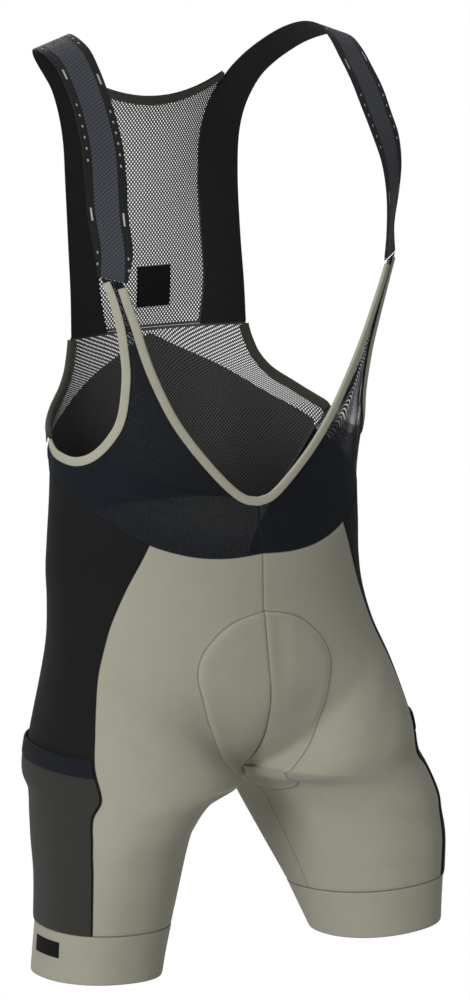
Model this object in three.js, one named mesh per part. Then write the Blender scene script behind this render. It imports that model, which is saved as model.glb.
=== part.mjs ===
// Cycling bib shorts, worn shape with no wearer: stretch shorts with a chamois pad, cargo leg pockets and
// leg grippers, under a see-through mesh bib with webbing straps and a rear pocket.
// Millimetres, +Z up. The wearer faces -Y and the wearer's right is at -X. The origin is the middle between
// the two straps where they lie on the shoulders. Heights in the tables are measured from the crotch.
import * as THREE from 'three';

// Driving sizes
const SHOULDER_HEIGHT = 690;
const GAP = 0.3;
const SHORTS_WALL = 1.4;
const MESH_WALL = 1.1;
const WEBBING_WALL = 1.6;
const POCKET_WALL = 1.2;
const BAND_WALL = 1.8;
const BINDING_WIDTH = 6.5;
const BINDING_WALL = 1.1;
const BINDING_CLEARANCE = 0.75;
const GRIPPER_HEIGHT = 48;
const HEM_HEIGHT = -180;
const RISE_HEIGHT = 90;
const PAD_THICKNESS = 6;
const PAD_RIM = 1.4;
const PAD_LIFT = 1.8;
const PAD_EDGE = 9;

// Colours of the cloths
const TAUPE = { color: 0x9b998a, roughness: 0.75, metalness: 0 };
const BLACK = { color: 0x18191a, roughness: 0.8, metalness: 0 };
const POCKET_GREY = { color: 0x373834, roughness: 0.8, metalness: 0 };
const NAVY = { color: 0x1b212c, roughness: 0.85, metalness: 0 };
const BEIGE = { color: 0xa8a691, roughness: 0.8, metalness: 0 };
const OLIVE = { color: 0x4a4b41, roughness: 0.85, metalness: 0 };
const BACK_MESH = { color: 0x6b6b66, roughness: 0.85, metalness: 0 };
const WEBBING = { color: 0x2c2e33, roughness: 0.7, metalness: 0 };
const PAD_FOAM = { color: 0x6d6c60, roughness: 0.9, metalness: 0 };

function table(columns, rows) {
  return rows.map((row) => Object.fromEntries(columns.map((column, i) => [column, row[i]])));
}

// A smooth curve through one column of a table, read at a value of its key column.
function read(rows, key, at, column) {
  const rising = rows[rows.length - 1][key] > rows[0][key];
  const list = rising ? rows : [...rows].reverse();
  const last = list.length - 1;
  const x = THREE.MathUtils.clamp(at, list[0][key], list[last][key]);
  let i = 0;
  while (i < last - 1 && x > list[i + 1][key]) i += 1;
  const step = list[i + 1][key] - list[i][key];
  const slope = (k) => {
    const a = list[Math.max(k - 1, 0)];
    const b = list[Math.min(k + 1, last)];
    return (b[column] - a[column]) / (b[key] - a[key]);
  };
  const t = (x - list[i][key]) / step;
  const p = list[i][column];
  const q = list[i + 1][column];
  const h = t * t * (3 - 2 * t);
  const bend = t * (1 - t) * step * ((1 - t) * slope(i) - t * slope(i + 1));
  return p + (q - p) * h + bend;
}

// Sections of the general figure. Above the crotch a section is half an oval, from the middle of the front
// (angle 0) round the side (angle 90) to the middle of the back (angle 180).
const TORSO = table(['height', 'halfWidth', 'front', 'back', 'sideY', 'frontPower', 'backPower'], [
  [0, 193, 124, 118, -46, 2.3, 2],
  [30, 190.5, 128, 126, -45, 2.3, 1.95],
  [60, 183, 127, 130, -42, 2.3, 1.95],
  [90, 174.5, 126, 130, -35, 2.25, 1.95],
  [125, 164, 120, 126, -21, 2.15, 1.98],
  [160, 159, 114.5, 118, -7, 2.1, 2.03],
  [190, 158.5, 113, 112, 0, 2.05, 2.05],
  [218, 158, 112, 106, 0, 2.05, 2.05],
  [270, 156, 104, 98, 0, 2.2, 2.05],
  [310, 156, 107, 97, 0, 2.45, 2.05],
  [355, 162, 110, 99, 0, 2.6, 2.05],
  [392, 171, 115, 102, 0, 2.6, 2.05],
  [443, 181, 125, 104, 0, 2.6, 2.05],
  [490, 187, 135, 106, 0, 2.6, 2.05],
]);

// Below the crotch a section is a closed oval round the leg, from the inner thigh (angle 0) round the front,
// the outside (angle 90) and the back, to the inner thigh again (angle 180). Each leg is turned a little, so
// that the front of the thigh lies further out than its back.
const LEG = table(['height', 'x', 'y', 'halfWidth', 'halfDepth', 'frontOut'], [
  [-190, 157.5, -68, 56.5, 66, 0],
  [-160, 151.5, -65, 60, 71, 0.08],
  [-127, 144.5, -62, 63.5, 79, 0.145],
  [-90, 135.5, -55, 68.5, 90, 0.2],
  [-60, 127.5, -45, 72.5, 101, 0.2],
  [-40, 121.5, -40, 75.5, 108, 0.19],
  [-15, 108, -35, 84.5, 112, 0.13],
  [0, 96.5, -37, 96.5, 113, 0],
  [30, 95, -35, 94, 114, 0],
  [60, 91.5, -30, 89.5, 116, 0],
  [90, 87.3, -23.5, 84.5, 118, 0],
  [125, 82, -15, 77, 118, 0],
]);
const LEG_POWER = 2.2;
const LEG_TILT = { from: -30, to: -130, forward: 0.1, outward: 0.06 };
const HIP_HEIGHT = 120;
const CROTCH_ANGLE = 45;

const radians = THREE.MathUtils.degToRad;

function oval(angle, halfWidth, halfDepth, power) {
  const s = Math.sin(angle);
  const c = Math.cos(angle);
  const x = Math.sign(s) * Math.abs(s) ** (2 / power) * halfWidth;
  const y = -Math.sign(c) * Math.abs(c) ** (2 / power) * halfDepth;
  return [x, y];
}

function torsoSection(angle, height) {
  const at = (column) => read(TORSO, 'height', height, column);
  const sideY = at('sideY');
  const inFront = angle < 90;
  const depth = inFront ? at('front') + sideY : at('back') - sideY;
  const [x, y] = oval(radians(angle), at('halfWidth'), depth, at(inFront ? 'frontPower' : 'backPower'));
  return new THREE.Vector3(x, y + sideY, height);
}

function legSection(angle, height) {
  const at = (column) => read(LEG, 'height', height, column);
  const [depth, side] = oval(radians(2 * angle), at('halfDepth'), at('halfWidth'), LEG_POWER);
  const tilt = THREE.MathUtils.smoothstep(-height, -LEG_TILT.from, -LEG_TILT.to);
  const lean = LEG_TILT.forward * depth + LEG_TILT.outward * side;
  const turned = at('frontOut') * depth;
  return new THREE.Vector3(at('x') + side + turned, at('y') - depth, height + tilt * lean);
}

// The leg turns into the torso along a round rise at the crotch, and slowly over the outside of the hip.
function torsoShare(angle, height) {
  const rise = Math.min(height / RISE_HEIGHT, 1);
  const atCrotch = Math.sqrt(1 - (1 - rise) ** 2);
  const atSide = THREE.MathUtils.smoothstep(height, 0, HIP_HEIGHT);
  const sideways = THREE.MathUtils.smoothstep(Math.min(angle, 180 - angle), 0, CROTCH_ANGLE);
  return THREE.MathUtils.lerp(atCrotch, atSide, sideways);
}

// A point of the figure on the wearer's left, for an angle and a height.
function figure(angle, height) {
  if (height <= 0) return legSection((angle + 180) % 180, height);
  if (angle < 0) return figure(-angle, height).multiply(new THREE.Vector3(-1, 1, 1));
  if (angle > 180) return figure(360 - angle, height).multiply(new THREE.Vector3(-1, 1, 1));
  const torso = torsoSection(angle, height);
  if (height >= HIP_HEIGHT) return torso;
  return legSection(angle, height).lerp(torso, torsoShare(angle, height));
}

function normalAt(angle, height) {
  const across = figure(angle + 0.5, height).sub(figure(angle - 0.5, height));
  const up = figure(angle, height + 1).sub(figure(angle, height - 1));
  return across.cross(up).normalize();
}

// The figure's point moved out by a distance.
function skin(angle, height, out) {
  return figure(angle, height).addScaledVector(normalAt(angle, height), out);
}

// Closed solids from grids of points

function meshFrom(name, points, faces, look) {
  const geometry = new THREE.BufferGeometry();
  geometry.setAttribute('position', new THREE.Float32BufferAttribute(points.flatMap((p) => p.toArray()), 3));
  geometry.setIndex(faces.flat());
  geometry.computeVertexNormals();
  const mesh = new THREE.Mesh(geometry, new THREE.MeshStandardMaterial(look));
  mesh.name = name;
  return mesh;
}

function signedVolume(points, faces) {
  return faces.reduce((sum, [a, b, c]) => sum + points[a].dot(points[b].clone().cross(points[c])), 0);
}

function solidFrom(name, points, faces, look) {
  const outward = signedVolume(points, faces) > 0;
  return meshFrom(name, points, outward ? faces : faces.map(([a, b, c]) => [a, c, b]), look);
}

function quad(a, b, c, d) {
  return [[a, b, c], [a, c, d]];
}

// Draws the four edges of a grid of points in by half a seam gap.
function drawIn(rows, gap, joined) {
  const step = (from, to) => to.clone().sub(from).setLength(gap / 2);
  const drawn = rows.map((row) => row.map((p) => p.clone()));
  const lastRow = rows.length - 1;
  const lastColumn = rows[0].length - 1;
  rows.forEach((row, i) => {
    row.forEach((p, j) => {
      if (!joined && j === 0) drawn[i][j].add(step(p, row[1]));
      if (!joined && j === lastColumn) drawn[i][j].add(step(p, row[j - 1]));
      if (i === 0) drawn[i][j].add(step(p, rows[1][j]));
      if (i === lastRow) drawn[i][j].add(step(p, rows[i - 1][j]));
    });
  });
  return drawn;
}

// A wall between an inner and an outer grid of points. A joined wall closes on itself along its rows. The
// triangles of a wall that crosses the middle of the garment are mirrored there.
function wall(name, inner, outer, look, { joined = false, crossing = false } = {}) {
  const insideRows = drawIn(inner, GAP, joined);
  const outsideRows = drawIn(outer, GAP, joined);
  const rows = insideRows.length;
  const columns = insideRows[0].length;
  const points = [...insideRows.flat(), ...outsideRows.flat()];
  const at = (layer, i, j) => layer * rows * columns + i * columns + (j % columns);
  const faces = [];
  const span = joined ? columns : columns - 1;
  for (let i = 0; i < rows - 1; i += 1) {
    for (let j = 0; j < span; j += 1) {
      const corners = [[i, j], [i + 1, j], [i + 1, j + 1], [i, j + 1]];
      if (crossing && j < span / 2) corners.push(corners.shift());
      faces.push(...quad(...corners.map(([r, c]) => at(0, r, c))));
      faces.push(...quad(...corners.map(([r, c]) => at(1, r, c)).reverse()));
    }
  }
  for (let j = 0; j < span; j += 1) {
    faces.push(...quad(at(0, 0, j), at(0, 0, j + 1), at(1, 0, j + 1), at(1, 0, j)));
    faces.push(...quad(at(0, rows - 1, j), at(1, rows - 1, j), at(1, rows - 1, j + 1), at(0, rows - 1, j + 1)));
  }
  if (!joined) {
    for (let i = 0; i < rows - 1; i += 1) {
      faces.push(...quad(at(0, i, 0), at(1, i, 0), at(1, i + 1, 0), at(0, i + 1, 0)));
      const j = columns - 1;
      faces.push(...quad(at(0, i, j), at(0, i + 1, j), at(1, i + 1, j), at(1, i, j)));
    }
  }
  return solidFrom(name, points, faces, look);
}

// A wall over a grid of places on the figure, between two distances out from it. Cloth of the left leg
// stays left of the middle.
function clothWall(name, places, from, to, look, how) {
  const layer = (out) => places.map((row) => row.map((place) => {
    const distance = typeof out === 'function' ? out(place) : out;
    const point = skin(place.angle, place.height, distance);
    if (place.height < RISE_HEIGHT && place.angle <= 180) point.x = Math.max(point.x, GAP / 2);
    return point;
  }));
  return wall(name, layer(from), layer(to), look, how);
}

// A folded binding: a channel that holds the edge of a cloth. Each station has the edge point, the way
// into the cloth and the way out of the figure.
function binding(name, stations, clothWallSize, look) {
  const g = BINDING_CLEARANCE;
  const w = BINDING_WIDTH;
  const b = BINDING_WALL;
  const t = clothWallSize;
  const section = [
    [w, t + g + b], [-g - b, t + g + b], [-g - b, -g - b], [w, -g - b],
    [w, -g], [-g, -g], [-g, t + g], [w, t + g],
  ];
  const points = stations.flatMap(({ edge, into, out }) => section.map(([x, y]) => (
    edge.clone().addScaledVector(into, x).addScaledVector(out, y))));
  const n = section.length;
  const faces = [];
  for (let i = 0; i < stations.length - 1; i += 1) {
    for (let j = 0; j < n; j += 1) {
      const k = (j + 1) % n;
      faces.push(...quad(i * n + j, i * n + k, (i + 1) * n + k, (i + 1) * n + j));
    }
  }
  const arms = [[0, 1, 6, 7], [1, 2, 5, 6], [2, 3, 4, 5]];
  const end = (stations.length - 1) * n;
  arms.forEach(([p, q, r, s]) => {
    faces.push(...quad(p, s, r, q));
    faces.push(...quad(end + p, end + q, end + r, end + s));
  });
  return solidFrom(name, points, faces, look);
}

// Stations along an edge of a cloth on the figure, stopping short of both of its ends.
function edgeStations(places, side, startInset, endInset) {
  const edges = places.map(({ angle, height }) => figure(angle, height));
  return places.map(({ angle, height }, i) => {
    const before = edges[Math.max(i - 1, 0)];
    const after = edges[Math.min(i + 1, edges.length - 1)];
    const along = after.clone().sub(before).normalize();
    const out = normalAt(angle, height);
    const edge = edges[i].clone();
    if (i === 0) edge.addScaledVector(along, startInset);
    if (i === edges.length - 1) edge.addScaledVector(along, -endInset);
    return { edge, out, into: out.clone().cross(along).normalize().multiplyScalar(side) };
  });
}

function range(count, f) {
  return Array.from({ length: count + 1 }, (_, i) => f(i / count, i));
}

const mix = THREE.MathUtils.lerp;

// Puts the columns of a grid closer together towards its edge.
const EDGE_BIAS = 1.5;
const towardEdge = (share) => 1 - (1 - share) ** EDGE_BIAS;

// Seam lines of the shorts

const WAIST_SEAM = table(['angle', 'height'], [
  [0, 217], [12, 215.5], [25, 219], [41, 231], [54, 247], [65, 260], [80, 272], [95, 284], [111, 297],
]);
const FRONT_SIDE_SEAM = table(['height', 'angle'], [
  [231, 41], [189, 50.5], [145, 60], [103, 65.5], [59, 70], [25, 71.5], [-14, 68.5], [-40, 65],
  [-74, 62.7], [-121, 62], [-190, 61.6],
]);
const BACK_SIDE_SEAM = table(['height', 'angle'], [
  [319, 102], [297, 111], [276, 117.5], [250, 125], [222, 132], [168, 140], [120, 138], [60, 132],
  [10, 126], [-40, 121], [-90, 118], [-190, 116],
]);
const SEAT_TOP = { cornerAngle: 132, corner: 222, middle: 229 };
const BACK_COLUMNS = 14;
const SHORTS_LEVELS = { belowWaist: 200, upperRows: 3, gripperSeam: HEM_HEIGHT + GRIPPER_HEIGHT };
const HIP_ROWS = [200, 178, 158, 144, 130, 112];
const RISE_ROWS = 7;
const LEG_ROWS = [-9, -18, -28, -42, -60, -80, -104];

function seatTopHeight(angle) {
  const share = (180 - angle) / (180 - SEAT_TOP.cornerAngle);
  return THREE.MathUtils.lerp(SEAT_TOP.middle, SEAT_TOP.corner, share ** 2);
}

// Heights of the rows below the waist seams, closer together where the rise curves under the crotch.
function lowerHeights() {
  const rise = range(RISE_ROWS, (t) => RISE_HEIGHT * (1 - Math.sin((t * Math.PI) / 2)));
  rise[RISE_ROWS] = 0;
  return [...HIP_ROWS, ...rise, ...LEG_ROWS, SHORTS_LEVELS.gripperSeam];
}

function seamAngle(seam, height) {
  return read(seam, 'height', height, 'angle');
}

const PAD_FRONT = table(['height', 'angle'], [
  [162, 0], [158, 7], [152, 12.5], [143, 17], [127, 22], [108, 23.5], [84, 22], [60, 21.5], [36, 21.5],
  [12, 22], [-8, 20], [-20, 15], [-29, 7], [-33, 0],
]);
const PAD_BACK = table(['height', 'angle'], [
  [102, 0], [97, 14], [86, 23], [66, 28], [40, 28], [12, 25], [-8, 20], [-20, 15], [-29, 7], [-33, 0],
]);

// How far the pad lifts the cloth over it, softening over the pad's edge.
function padLift({ angle, height }) {
  const atFront = angle < 90;
  const outline = atFront ? PAD_FRONT : PAD_BACK;
  const heights = outline.map((row) => row.height);
  if (height > Math.max(...heights) || height < Math.min(...heights)) return 0;
  const reach = read(outline, 'height', height, 'angle');
  const place = atFront ? angle : 180 - angle;
  const inside = (reach - place) * figure(angle, height).distanceTo(figure(angle + (atFront ? 1 : -1), height));
  const fromEnds = Math.min(Math.max(...heights) - height, height - Math.min(...heights));
  const near = THREE.MathUtils.smoothstep(Math.min(inside, 2 * fromEnds), -PAD_EDGE / 3, PAD_EDGE);
  return PAD_LIFT * near;
}

function shortsOuter(place) {
  return SHORTS_WALL + padLift(place);
}

// The places of one shorts panel. The top edge is a curve of angle and height.
function panelPlaces(fromAngle, toAngle, columns, topHeight, middleHeight, spread = (u) => u) {
  const rows = [];
  const upper = SHORTS_LEVELS.upperRows;
  const across = (height) => range(columns, (u) => (
    { angle: mix(fromAngle(height), toAngle(height), spread(u)), height }));
  const bandRow = (high, low, t) => range(columns, (u) => {
    const heightAtEnds = (side) => mix(high(side), low(side), t);
    const first = fromAngle(heightAtEnds(0));
    const last = toAngle(heightAtEnds(1));
    const angle = mix(first, last, spread(u));
    return { angle, height: mix(high(u, angle), low(u, angle), t) };
  });
  if (topHeight) {
    for (let k = 0; k < upper; k += 1) rows.push(bandRow(topHeight, middleHeight, k / upper));
  }
  const floor = () => SHORTS_LEVELS.belowWaist;
  rows.push(bandRow(middleHeight, floor, 0));
  rows.push(bandRow(middleHeight, floor, 0.5));
  lowerHeights().forEach((height) => rows.push(across(height)));
  return rows;
}

const FRONT_MIDDLE = 212;
const SIDE_MIDDLE = table(['share', 'height'], [[0, 220], [1, 222]]);

function frontLegPlaces() {
  const waist = (u, angle = u * 41) => read(WAIST_SEAM, 'angle', angle, 'height');
  const middle = (u) => mix(FRONT_MIDDLE - 4, SIDE_MIDDLE[0].height, u);
  return panelPlaces(() => 0, (h) => seamAngle(FRONT_SIDE_SEAM, h), 9, waist, middle);
}

function sidePanelPlaces() {
  const waist = (u, angle = mix(41, 111, u)) => read(WAIST_SEAM, 'angle', angle, 'height');
  const middle = (u) => mix(SIDE_MIDDLE[0].height, SIDE_MIDDLE[1].height, u);
  const front = (h) => seamAngle(FRONT_SIDE_SEAM, h);
  const back = (h) => seamAngle(BACK_SIDE_SEAM, h);
  return panelPlaces(front, back, 6, waist, middle);
}

function seatPlaces() {
  const spread = (u) => 1 - towardEdge(1 - u);
  const top = (u, angle = u < 0.5 ? SEAT_TOP.cornerAngle : 180) => seatTopHeight(angle);
  const side = (height) => seamAngle(BACK_SIDE_SEAM, height);
  return panelPlaces(side, () => 180, BACK_COLUMNS / 2, null, top, spread);
}

// Leg gripper band and its tab

const GRIPPER_COLUMNS = 26;

function gripperPlaces() {
  const top = SHORTS_LEVELS.gripperSeam - GAP;
  return [HEM_HEIGHT, mix(HEM_HEIGHT, top, 0.5), top].map((height) => (
    range(GRIPPER_COLUMNS - 1, (u, i) => ({ angle: (180 * i) / GRIPPER_COLUMNS, height }))));
}

const TAB = { fromAngle: 78, toAngle: 94, low: -157, high: -142, wall: 0.8 };

function patchPlaces(fromAngle, toAngle, low, high, columns, rows) {
  return range(rows, (v) => range(columns, (u) => ({
    angle: mix(fromAngle, toAngle, u), height: mix(low, high, v),
  })));
}

// Cargo pocket on the outside of the leg, with a folded hem along its mouth

const LEG_POCKET = {
  mouth: 20, hemHeight: 16, slope: -8, clearance: 0.6, bulge: 2, rows: 9, columns: 7, sideMargin: 0.6,
};

function legPocketRow(height, extra) {
  const { columns, sideMargin, slope } = LEG_POCKET;
  return range(columns, (u) => {
    const level = height + extra * slope * u;
    const first = seamAngle(FRONT_SIDE_SEAM, level) + sideMargin;
    const last = seamAngle(BACK_SIDE_SEAM, level) - sideMargin;
    return { angle: mix(first, last, u), height: level, share: u };
  });
}

function legPocketOut(place) {
  const { gripperSeam } = SHORTS_LEVELS;
  const up = (place.height - gripperSeam) / (LEG_POCKET.mouth - gripperSeam);
  const swell = Math.sin(Math.PI * place.share) * Math.sqrt(THREE.MathUtils.clamp(up, 0, 1));
  return SHORTS_WALL + LEG_POCKET.clearance + LEG_POCKET.bulge * swell;
}

function legPocketPlaces() {
  const { mouth, rows } = LEG_POCKET;
  return range(rows, (v) => legPocketRow(mix(SHORTS_LEVELS.gripperSeam + 0.5, mouth, v), v));
}

function legPocketHemPlaces() {
  const { mouth, hemHeight } = LEG_POCKET;
  return range(2, (v) => legPocketRow(mouth + hemHeight * v, 1));
}

// Chamois pad inside the crotch, one piece across both legs

const PAD_ROWS = table(['middleAngle', 'middleHeight', 'edgeAngle', 'edgeHeight'], [
  [0, 160, 3, 160], [0, 154, 10, 154], [0, 144, 16.5, 143], [0, 130, 21.5, 127], [0, 112, 23, 108],
  [0, 88, 21.5, 84], [0, 64, 21, 60], [0, 42, 21, 36], [0, 24, 21, 12], [0, 10, 18, -9], [0, 2.5, 11, -23],
  [0, 0, 0, -30], [180, 2.5, 169, -23], [180, 10, 162, -9], [180, 24, 156, 12], [180, 42, 153, 40],
  [180, 62, 153, 64], [180, 80, 158, 84], [180, 92, 166, 95], [180, 98, 175, 100],
]);
const PAD_COLUMNS = 5;
const PAD_CLEARANCE = 3.2;
const PAD_SEWN_FROM = 118;
const PAD_SEWN_TO = 150;

// The pad is sewn on along its top edges, and lies a little looser round the crotch.
function padClearance(height) {
  const sewn = THREE.MathUtils.smoothstep(height, PAD_SEWN_FROM, PAD_SEWN_TO);
  return mix(PAD_CLEARANCE, GAP, sewn);
}

function padGrid(depthAt) {
  return PAD_ROWS.map((row) => range(2 * PAD_COLUMNS, (u, j) => {
    const share = Math.abs(j - PAD_COLUMNS) / PAD_COLUMNS;
    const side = Math.sign(j - PAD_COLUMNS);
    const angle = mix(row.middleAngle, row.edgeAngle, share);
    const height = mix(row.middleHeight, row.edgeHeight, share);
    const point = skin(angle, height, -padClearance(height) - depthAt(share));
    point.x = side === 0 ? 0 : side * Math.max(point.x, GAP);
    return point;
  }));
}

function pad() {
  const outer = padGrid(() => 0);
  const inner = padGrid((share) => mix(PAD_THICKNESS, PAD_RIM, share ** 3));
  return wall('chamois_pad', inner, outer, PAD_FOAM, { crossing: true });
}

// Front bib, from the middle of the front to the side-back seam

const BIB_ROWS = table(['innerAngle', 'innerHeight', 'outerAngle', 'outerHeight'], [
  [0, 217, 111, 297], [0, 231, 106, 308], [0, 243, 102, 319], [0, 253, 94, 312], [0, 261, 86, 308.5],
  [0, 268, 78, 308.5], [4, 271.5, 70, 313], [8.5, 283, 63, 322], [15, 306, 57, 334], [21, 329, 52, 348],
  [27, 356, 48.5, 368], [33, 393, 46, 394], [36.5, 420, 46, 420], [39, 443, 47, 443], [42, 465, 49.5, 467],
  [44.5, 484, 53, 488],
]);
const NECK_ROW = 5;
const ARMHOLE_ROW = 2;
const BIB_STEPS = 2;
const BIB_COLUMNS = 11;
const BIB_LIFT = 0.5;

// Both edges turn a corner at one row: straight up to it, and smooth after it.
function edgePlace(name, cornerRow, at) {
  const curve = BIB_ROWS.slice(cornerRow).map((row, i) => ({ ...row, i }));
  const low = Math.min(Math.floor(at), BIB_ROWS.length - 2);
  return ['Angle', 'Height'].map((part) => {
    const column = name + part;
    if (at >= cornerRow) return read(curve, 'i', at - cornerRow, column);
    return mix(BIB_ROWS[low][column], BIB_ROWS[low + 1][column], at - low);
  });
}

function bibEdges() {
  const last = BIB_ROWS.length - 1;
  return range(last * BIB_STEPS, (t) => {
    const [innerAngle, innerHeight] = edgePlace('inner', NECK_ROW, t * last);
    const [outerAngle, outerHeight] = edgePlace('outer', ARMHOLE_ROW, t * last);
    return { innerAngle, innerHeight, outerAngle, outerHeight };
  });
}

// Rows bend from the waist seam's curve at the bottom to straight lines at the strap.
function bibPlaces() {
  const edges = bibEdges();
  const bottom = edges[0];
  return edges.map((edge, k) => range(BIB_COLUMNS, (t) => {
    const u = towardEdge(t);
    const angle = mix(edge.innerAngle, edge.outerAngle, u);
    const waistAngle = mix(bottom.innerAngle, bottom.outerAngle, u);
    const straight = mix(bottom.innerHeight, bottom.outerHeight, u);
    const dip = read(WAIST_SEAM, 'angle', waistAngle, 'height') - straight;
    const share = 1 - Math.min(k / (NECK_ROW * BIB_STEPS), 1);
    const lift = k === 0 && u < 1 ? BIB_LIFT : 0;
    return { angle, height: mix(edge.innerHeight, edge.outerHeight, u) + dip * share + lift };
  }));
}

function innerEdge() {
  return bibEdges().slice(NECK_ROW * BIB_STEPS).map((e) => ({ angle: e.innerAngle, height: e.innerHeight }));
}

function outerEdge() {
  return bibEdges().slice(ARMHOLE_ROW * BIB_STEPS).map((e) => ({ angle: e.outerAngle, height: e.outerHeight }));
}

const STRAP_INSET = 4.5;
const CORNER_INSET = 1.5;

const mirror = (p) => new THREE.Vector3(-p.x, p.y, p.z);

function mirrorStation({ edge, into, out }) {
  return { edge: mirror(edge), into: mirror(into), out: mirror(out) };
}

// One binding runs from strap to strap round the neckline.
function necklineBinding() {
  const left = edgeStations(innerEdge(), -1, 0, STRAP_INSET);
  const middle = left[0];
  middle.edge.x = 0;
  middle.out.setX(0).normalize();
  middle.into.set(0, middle.out.z, -middle.out.y).multiplyScalar(-1);
  const right = left.slice(1).map(mirrorStation).reverse();
  return binding('neckline_binding', [...right, ...left], MESH_WALL, BEIGE);
}

// Back: a lower piece under the shoulder blades and an upper piece between the straps

const BACK_EDGE = table(['angle', 'height', 'middleHeight'], [
  [132, 222, 229], [125, 250, 253], [117.5, 276, 274], [111, 297, 292], [106, 308, 302], [102, 319, 311],
  [105, 324, 317], [111, 328.5, 323], [118, 334.5, 329], [125, 342, 337], [131, 349, 345], [136, 357, 353],
  [141, 370, 366], [144.5, 386, 383], [146.5, 400, 400],
]);
const BACK_ARMHOLE_ROW = 5;

// Rows from the wearer's right edge through the middle of the back to the left edge. Angles past 180 are
// on the wearer's right.
function backRow(edge, columns) {
  return range(columns, (u) => {
    const share = towardEdge(Math.abs(2 * u - 1));
    const span = (180 - edge.angle) * share;
    return { angle: u < 0.5 ? 180 + span : 180 - span, height: mix(edge.middleHeight, edge.height, share ** 2) };
  });
}

function backLowerPlaces() {
  return BACK_EDGE.map((edge) => backRow(edge, BACK_COLUMNS));
}

function backArmholeEdge() {
  return BACK_EDGE.slice(BACK_ARMHOLE_ROW);
}

// Rear pocket over the lower back, with a folded hem that peaks at the middle of the back

const REAR_HEM = table(['share', 'height'], [
  [0, 395], [0.13, 381], [0.26, 369], [0.38, 358], [0.49, 347], [0.6, 336], [0.72, 326], [0.86, 316], [1, 306],
]);
const REAR_MARGIN = 1.8;
const REAR_STANDOFF = 0.9;
const REAR_HEM_WIDTH = 10;
const REAR_ROWS = 8;
const REAR_COLUMNS = BACK_COLUMNS;

function rearPocketRow(t, lift) {
  const edgeTop = REAR_HEM[REAR_HEM.length - 1].height - REAR_HEM_WIDTH;
  const angle = seamAngle(BACK_SIDE_SEAM, mix(SEAT_TOP.corner, edgeTop, t)) + REAR_MARGIN;
  return range(REAR_COLUMNS, (u) => {
    const share = towardEdge(Math.abs(2 * u - 1));
    const span = (180 - angle) * share;
    const low = seatTopHeight(180 - span) + 1;
    const high = read(REAR_HEM, 'share', share, 'height') - REAR_HEM_WIDTH;
    return { angle: u < 0.5 ? 180 + span : 180 - span, height: mix(low, high, t) + lift };
  });
}

function rearPocketPlaces() {
  return range(REAR_ROWS, (t) => rearPocketRow(t, 0));
}

function rearHemPlaces() {
  return range(1, (v) => rearPocketRow(1, v * REAR_HEM_WIDTH));
}

// Stitched tapes that part the rear pocket, by the angle and height of both ends

const TAPES = table(['name', 'lowAngle', 'lowHeight', 'highAngle', 'highHeight'], [
  ['middle', 174, 236, 174, 370], ['side', 139.5, 236, 163.5, 353],
]);
const TAPE_WIDTH = 11;
const TAPE_WALL = 0.6;

function tapePlaces({ lowAngle, lowHeight, highAngle, highHeight }) {
  return range(8, (v) => {
    const angle = mix(lowAngle, highAngle, v);
    const height = mix(lowHeight, highHeight, v);
    const half = TAPE_WIDTH / 2 / figure(angle, height).distanceTo(figure(angle + 1, height));
    return [{ angle: angle - half, height }, { angle: angle + half, height }];
  });
}

// Straps: one webbing on each side, from the bib over the shoulder to the seam across the back

const STRAP_EDGES = table(['neckX', 'neckY', 'neckZ', 'armX', 'armY', 'armZ'], [
  [137, -112, 511, 162, -84, 513], [139, -108, 546, 168, -83, 547], [137, -102, 576, 170, -83, 572],
  [133, -89, 604, 169, -79, 598], [131, -74, 627, 167, -69, 618], [130, -56, 651, 166, -55, 640],
  [129, -37, 671, 165, -37, 659], [129, -18, 688, 165, -18, 675], [130, 3, 697, 166, 5, 685],
  [127, 26, 699, 162, 32, 686], [117, 49, 692, 149, 58, 677], [103, 73, 676, 138, 71, 667],
  [90, 87, 660, 125, 82, 654], [78, 95, 643, 114, 89, 640], [66, 103, 617, 103, 96, 615],
  [59, 107, 588, 97, 99, 588], [57, 108, 549, 95, 99, 549], [58, 104, 490, 95, 94, 490],
  [58.5, 100, 440, 96, 88, 440],
]);
const STRAP_STEPS = 2;
const STRAP_ACROSS = 2;
const BACK_SEAM = { height: 401, neckAngle: 163, armAngle: 146.5 };
const STRAP_OVERHANG = 4;

// Both ends of the strap lie on the figure, against the bib and against the lower back.
function strapEdges() {
  const top = bibEdges()[bibEdges().length - 1];
  const inner = skin(top.innerAngle, top.innerHeight, 0);
  const outer = skin(top.outerAngle, top.outerHeight, 0);
  const across = outer.clone().sub(inner).setLength(STRAP_OVERHANG);
  const first = { neck: inner.sub(across), arm: outer.add(across) };
  const last = {
    neck: figure(BACK_SEAM.neckAngle, BACK_SEAM.height),
    arm: figure(BACK_SEAM.armAngle, BACK_SEAM.height),
  };
  const between = STRAP_EDGES.map((row) => ({
    neck: new THREE.Vector3(row.neckX, row.neckY, row.neckZ),
    arm: new THREE.Vector3(row.armX, row.armY, row.armZ),
  }));
  return [first, ...between, last];
}

function strapCurves() {
  const edges = strapEdges();
  return {
    neck: new THREE.CatmullRomCurve3(edges.map((edge) => edge.neck)),
    arm: new THREE.CatmullRomCurve3(edges.map((edge) => edge.arm)),
    steps: (edges.length - 1) * STRAP_STEPS,
  };
}

function strapGrid(out) {
  const { neck, arm, steps } = strapCurves();
  const rows = range(steps, (t) => range(STRAP_ACROSS, (u) => neck.getPoint(t).lerp(arm.getPoint(t), u)));
  return rows.map((row, i) => {
    const before = rows[Math.max(i - 1, 0)];
    const after = rows[Math.min(i + 1, steps)];
    return row.map((p, j) => {
      const along = after[j].clone().sub(before[j]);
      const across = row[STRAP_ACROSS].clone().sub(row[0]);
      return p.clone().addScaledVector(along.cross(across).normalize(), out);
    });
  });
}

function strap(name) {
  return wall(name, strapGrid(0), strapGrid(WEBBING_WALL), WEBBING);
}

// Upper back between the straps, a little hollow along the spine

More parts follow.
